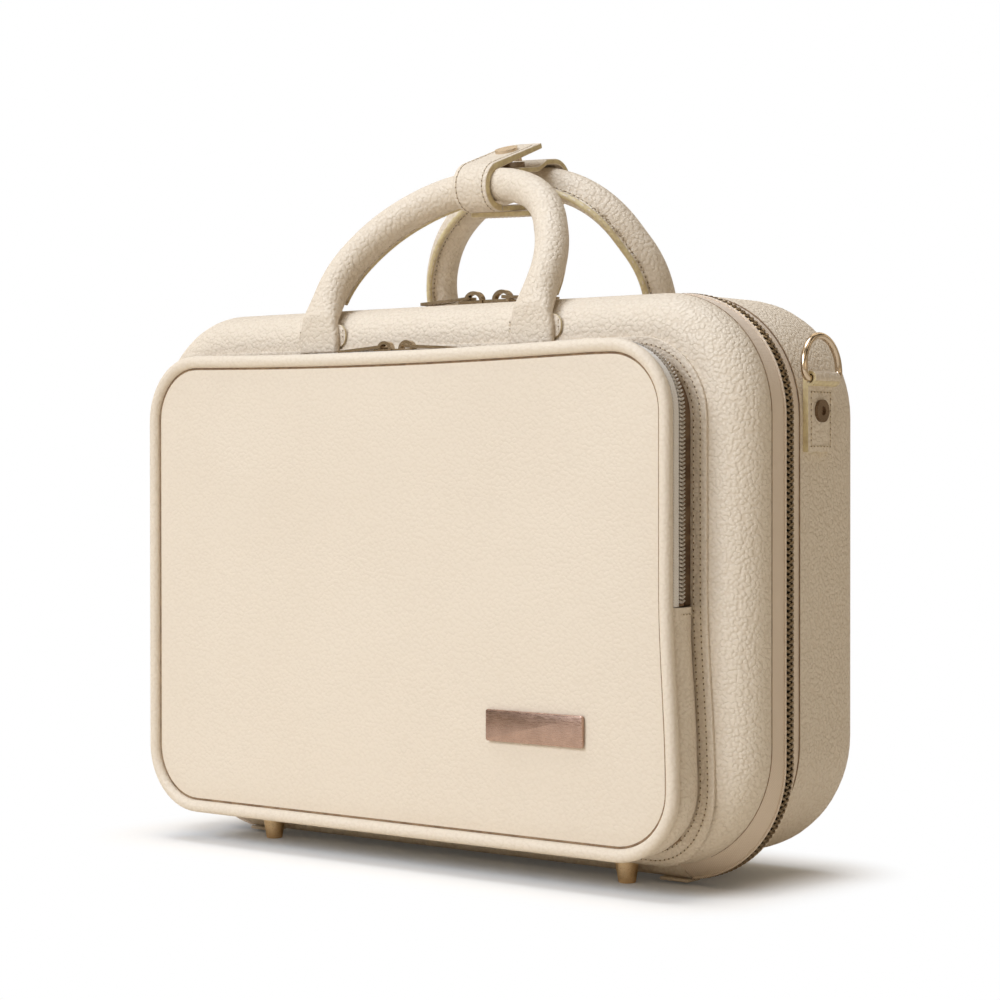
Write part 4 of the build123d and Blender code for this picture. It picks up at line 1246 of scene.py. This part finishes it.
def wrap_leathers():
    """Front loop with its flap, back strap with its tail, and the patch under both."""
    loop = copy_of("wrap_front", "wrap_loop")
    hug_tube(loop)
    strap_over(loop, "wrap_front", "handle_wrap", 0.55, 3, lambda c, n: abs(n.dot(WRAP_ALONG)) > 0.8)
    strap_over(copy_of("wrap_back", "wrap_strap"), "wrap_back", "back_handle", 0.55, 3,
               lambda c, n: abs(n.dot(WRAP_ALONG)) > 0.8)
    strap_over(copy_of("wrap_patch", "wrap_underlay"), "wrap_patch", "back_handle", 0.7, 3,
               lambda c, n: abs(n.dot(WRAP_UP)) < 0.3)


def wrap_stitches():
    """Rows near both edges of the wrap's front loop and flap."""
    places = []
    flap_start = pi / 2 + FLAP_SLOPE
    flap_along = WRAP_OVER * cos(FLAP_SLOPE) + WRAP_UP * sin(FLAP_SLOPE)
    flap_out = WRAP_UP * cos(FLAP_SLOPE) - WRAP_OVER * sin(FLAP_SLOPE)
    for along in (-WRAP_WIDTH / 2 + 2.0, WRAP_WIDTH / 2 - 2.0):
        for step in range(LOOP_STITCHES):
            turn = radians(103 + 150 * (step + 0.5) / LOOP_STITCHES)
            place = on_wrap(LOOP_SURFACE * cos(turn), LOOP_SURFACE * sin(turn), along)
            places.append(frame_at(place, WRAP_OVER * -sin(turn) + WRAP_UP * cos(turn),
                                   WRAP_OVER * cos(turn) + WRAP_UP * sin(turn)))
        for step in range(FLAP_STITCHES):
            ahead = 1.2 + 2.6 * step
            place = on_wrap(LOOP_SURFACE * cos(flap_start) + cos(FLAP_SLOPE) * ahead,
                            LOOP_SURFACE * sin(flap_start) + sin(FLAP_SLOPE) * ahead, along)
            places.append(frame_at(place, flap_along, flap_out))
    stitched("wrap_stitches", places, "handle_wrap", 1.6)


def patch_stitches():
    """Row round the patch under the wrap."""
    ring = ((-1, -0.6), (-1, 0.6), (-0.7, 1), (0.7, 1), (1, 0.6), (1, -0.6), (0.7, -1), (-0.7, -1), (-1, -0.6))
    points = [on_wrap(17.0 + 9.0 * across, -LOOP_OUTER - 2.45, 13.0 * along) for along, across in ring]
    stitched("patch_stitches", rows_along(points, -WRAP_UP), "back_handle", 1.6)


def make_handles():
    rolled_handle("front", "front_handle", (-29.0, 208.5), 31.1, FRONT_ARCH, FRONT_BENDS, -1,
                  1.6)
    rolled_handle("back", "back_handle", (59.9, 206.0), -18.5, BACK_ARCH, BACK_BENDS, 1,
                  0.0)
    handle_wings("front_handle_wings", "lid", -LID_DEPTH - 0.1, -1, (-50.2, 57.3), 200.2, 209.4)
    handle_wings("back_handle_wings", "base", BASE_DEPTH + 0.1, 1, (-55.3, 56.3), 186.0, 202.5)
    wrap_leathers()
    wrap_stitches()
    patch_stitches()


# Rings, tabs and metal

def ring_loops():
    """Leather loops that hold the strap rings, with a stitched rectangle round the rivet."""
    places = []
    for name, side in (("left", -1), ("right", 1)):
        tab = "ring_tab_" + name
        strap_over(copy_of(tab, "ring_loop_" + name), tab, "base", 0.8, 4,
                   lambda c, n: abs(n.y) > 0.3 or n.z < -0.3)
        x = side * (CASE_WIDTH / 2 + 2.25)
        corners = [at(x, depth, z) for depth, z in
                   ((10.8, 160.0), (10.8, 179.5), (23.8, 179.5), (23.8, 160.0), (10.8, 160.0))]
        places += rows_along(corners, Vector((side, 0, 0)))
    stitched("ring_loop_stitches", places, "base", 1.6)


def badge():
    """Bare metal badge: a flat plate with rounded corners and a bright bevelled edge."""
    low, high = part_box("badge_plate")
    piece = cuboid("badge_metal_plate", (low + high) / 2, high - low)
    round_corners(piece, 0.9, 4)
    soften(piece, 0.28, 2, 60)
    dress(piece, "lid", "badge_metal", BADGE, smooth=30, instead="badge_plate")


FINISH_OF = {
    PLUSH_FINISH: ["joint_tray"],
    PULLS: ["main_slider_left", "main_slider_right", "main_pull_left", "main_pull_right",
            "pocket_slider_left", "pocket_slider_right", "pocket_pull_left", "pocket_pull_right"],
    RINGS: ["d_ring_left", "d_ring_right", "snap_socket"],
    RIVETS: ["snap_stud", "ring_rivets"],
    FEET: ["base_feet", "lid_feet"],
    BOARD_FINISH: ["base_core", "lid_core", "front_handle_core", "back_handle_core"],
}


def finish_solids():
    """Gives the solids that stay as they are their finishes."""
    for finish, names in FINISH_OF.items():
        for name in names:
            nodes[name].data.materials.clear()
            coat(nodes[name], finish)
            smoothed(nodes[name], 35)


# Studio

def studio_floor():
    """Pale floor that keeps the shadow near the case and is plain white further away; near the case its colour
    is painted light, and in front it glows for glossy rays as a painted reflection.
    """
    bpy.ops.object.select_all(action="DESELECT")
    bpy.ops.mesh.primitive_plane_add(size=14, location=(0, 0, 0))
    floor = bpy.context.object
    floor.name = "floor"
    material = bpy.data.materials.new("pale_floor")
    material.use_nodes = True
    tree = material.node_tree
    tree.nodes.clear()
    x, y, _ = split(tree, tree.nodes.new("ShaderNodeTexCoord").outputs["Object"])
    squares = []
    for place, reach in ((x, 0.122), (y, 0.035)):
        beside = calculate(tree, "SUBTRACT", calculate(tree, "ABSOLUTE", place), reach)
        squares.append(calculate(tree, "POWER", calculate(tree, "MAXIMUM", beside, 0.0), 2.0))
    far = calculate(tree, "SQRT", calculate(tree, "ADD", *squares))
    path = tree.nodes.new("ShaderNodeLightPath").outputs
    # Painted light: for the camera the floor is bluish where the case's shadow falls and warm beyond it,
    # against the warm ambient light and the cool lamps; other rays meet a warm floor that throws warm bounce
    # light on the case
    tinted = remap(tree, far, 0.0, 0.03, 0.0, 1.0)
    near_colour = mix_colours(tree, tinted, (0.86, 0.92, 0.98, 1), (1.0, 0.95, 0.87, 1))
    diffuse = tree.nodes.new("ShaderNodeBsdfDiffuse")
    fill(tree, diffuse.inputs,
         Color=mix_colours(tree, path["Is Camera Ray"], (0.86, 0.79, 0.68, 1), near_colour))
    white = remap(tree, far, 0.0, 0.05, 0.03, 1.0, "SMOOTHSTEP")
    seen = calculate(tree, "MULTIPLY", path["Is Camera Ray"], white)
    # Painted reflection: in front of the case the floor glows for glossy rays, a bright floor for the metal to
    # mirror
    in_front = remap(tree, y, -0.5, -0.9, 0.0, 0.42)
    mirrored = calculate(tree, "MULTIPLY", path["Is Glossy Ray"], in_front)
    both = tree.nodes.new("ShaderNodeMixShader")
    feed(tree, both.inputs["Fac"], calculate(tree, "MAXIMUM", seen, mirrored))
    feed(tree, both.inputs[1], diffuse.outputs[0])
    feed(tree, both.inputs[2], tree.nodes.new("ShaderNodeEmission").outputs[0])
    fill(tree, tree.nodes.new("ShaderNodeOutputMaterial").inputs, Surface=both.outputs[0])
    coat(floor, material)


def studio_world(ambient):
    """White for the camera, warm and dim for the shade, with bright and dark bands for metal to mirror."""
    world = bpy.data.worlds.new("studio")
    scene.world = world
    world.use_nodes = True
    tree = world.node_tree
    tree.nodes.clear()
    path = tree.nodes.new("ShaderNodeLightPath").outputs
    seen = calculate(tree, "MAXIMUM", path["Is Camera Ray"], path["Is Transmission Ray"])
    ways = tree.nodes.new("ShaderNodeTexCoord").outputs["Generated"]
    height = split(tree, ways)[2]
    bands = remap(tree, cloud(tree, ways, 3.2, 1.0)[0], 0.47, 0.53, 0.06, 1.2)
    level = remap(tree, height, 0.10, 0.22, 0.42, 0.0)
    above = remap(tree, height, 0.10, 0.22, 0.0, 1.0)
    mirrored = calculate(tree, "ADD", level, calculate(tree, "MULTIPLY", bands, above))
    soft = calculate(tree, "MULTIPLY", path["Is Glossy Ray"], mirrored)
    dull = calculate(tree, "MULTIPLY", calculate(tree, "SUBTRACT", 1.0, path["Is Glossy Ray"]), ambient)
    light = tree.nodes.new("ShaderNodeBackground")
    fill(tree, light.inputs, Color=mix_colours(tree, seen, (1.0, 0.83, 0.62, 1), (1.0, 1.0, 1.0, 1)),
         Strength=calculate(tree, "MAXIMUM", seen, calculate(tree, "ADD", soft, dull)))
    fill(tree, tree.nodes.new("ShaderNodeOutputWorld").inputs, Surface=light.outputs[0])


def lamp(name, place, size, power, colour):
    """A round lamp that looks at the case."""
    data = bpy.data.lights.new(name, "AREA")
    data.shape = "DISK"
    data.size = size
    data.energy = power
    data.color = colour
    holder = new_object(name, data)
    holder.location = place
    holder.rotation_euler = (Vector((0, 0, 0.1)) - Vector(place)).to_track_quat("-Z", "Y").to_euler()


def studio_camera():
    """Camera at the photograph's place: right of the front, level with the case."""
    data = bpy.data.cameras.new("camera")
    data.lens = 89.69
    data.sensor_width = 36
    data.shift_y = -0.0046245
    data.clip_start = 0.05
    forward = Vector((-0.62928892, 0.77711717, -0.00918428))
    right = Vector((0.777154073, 0.629309926, -0.000751172))
    up = Vector((-0.00519601, 0.0076103, 0.99995754))
    turn = Matrix((right, up, -forward)).transposed().to_4x4()
    camera = new_object("camera", data)
    camera.matrix_world = Matrix.Translation((0.629357, (ZIP_Y - 753.150) * MM, 0.150710)) @ turn
    scene.camera = camera


make_halves()
make_pocket()
make_handles()
ring_loops()
strap_over(copy_of("zip_end_tabs", "zip_end_leathers"), "zip_end_tabs", "base", 0.4, 2)
badge()
finish_solids()
studio_floor()
studio_world(0.30)
lamp("key", (-0.8, -3.0, 1.9), 1.8, 90, (0.83, 0.89, 1.0))
lamp("top", (-0.2, -0.2, 2.4), 1.5, 30, (0.84, 0.90, 1.0))
studio_camera()

scene.view_settings.view_transform = "Standard"
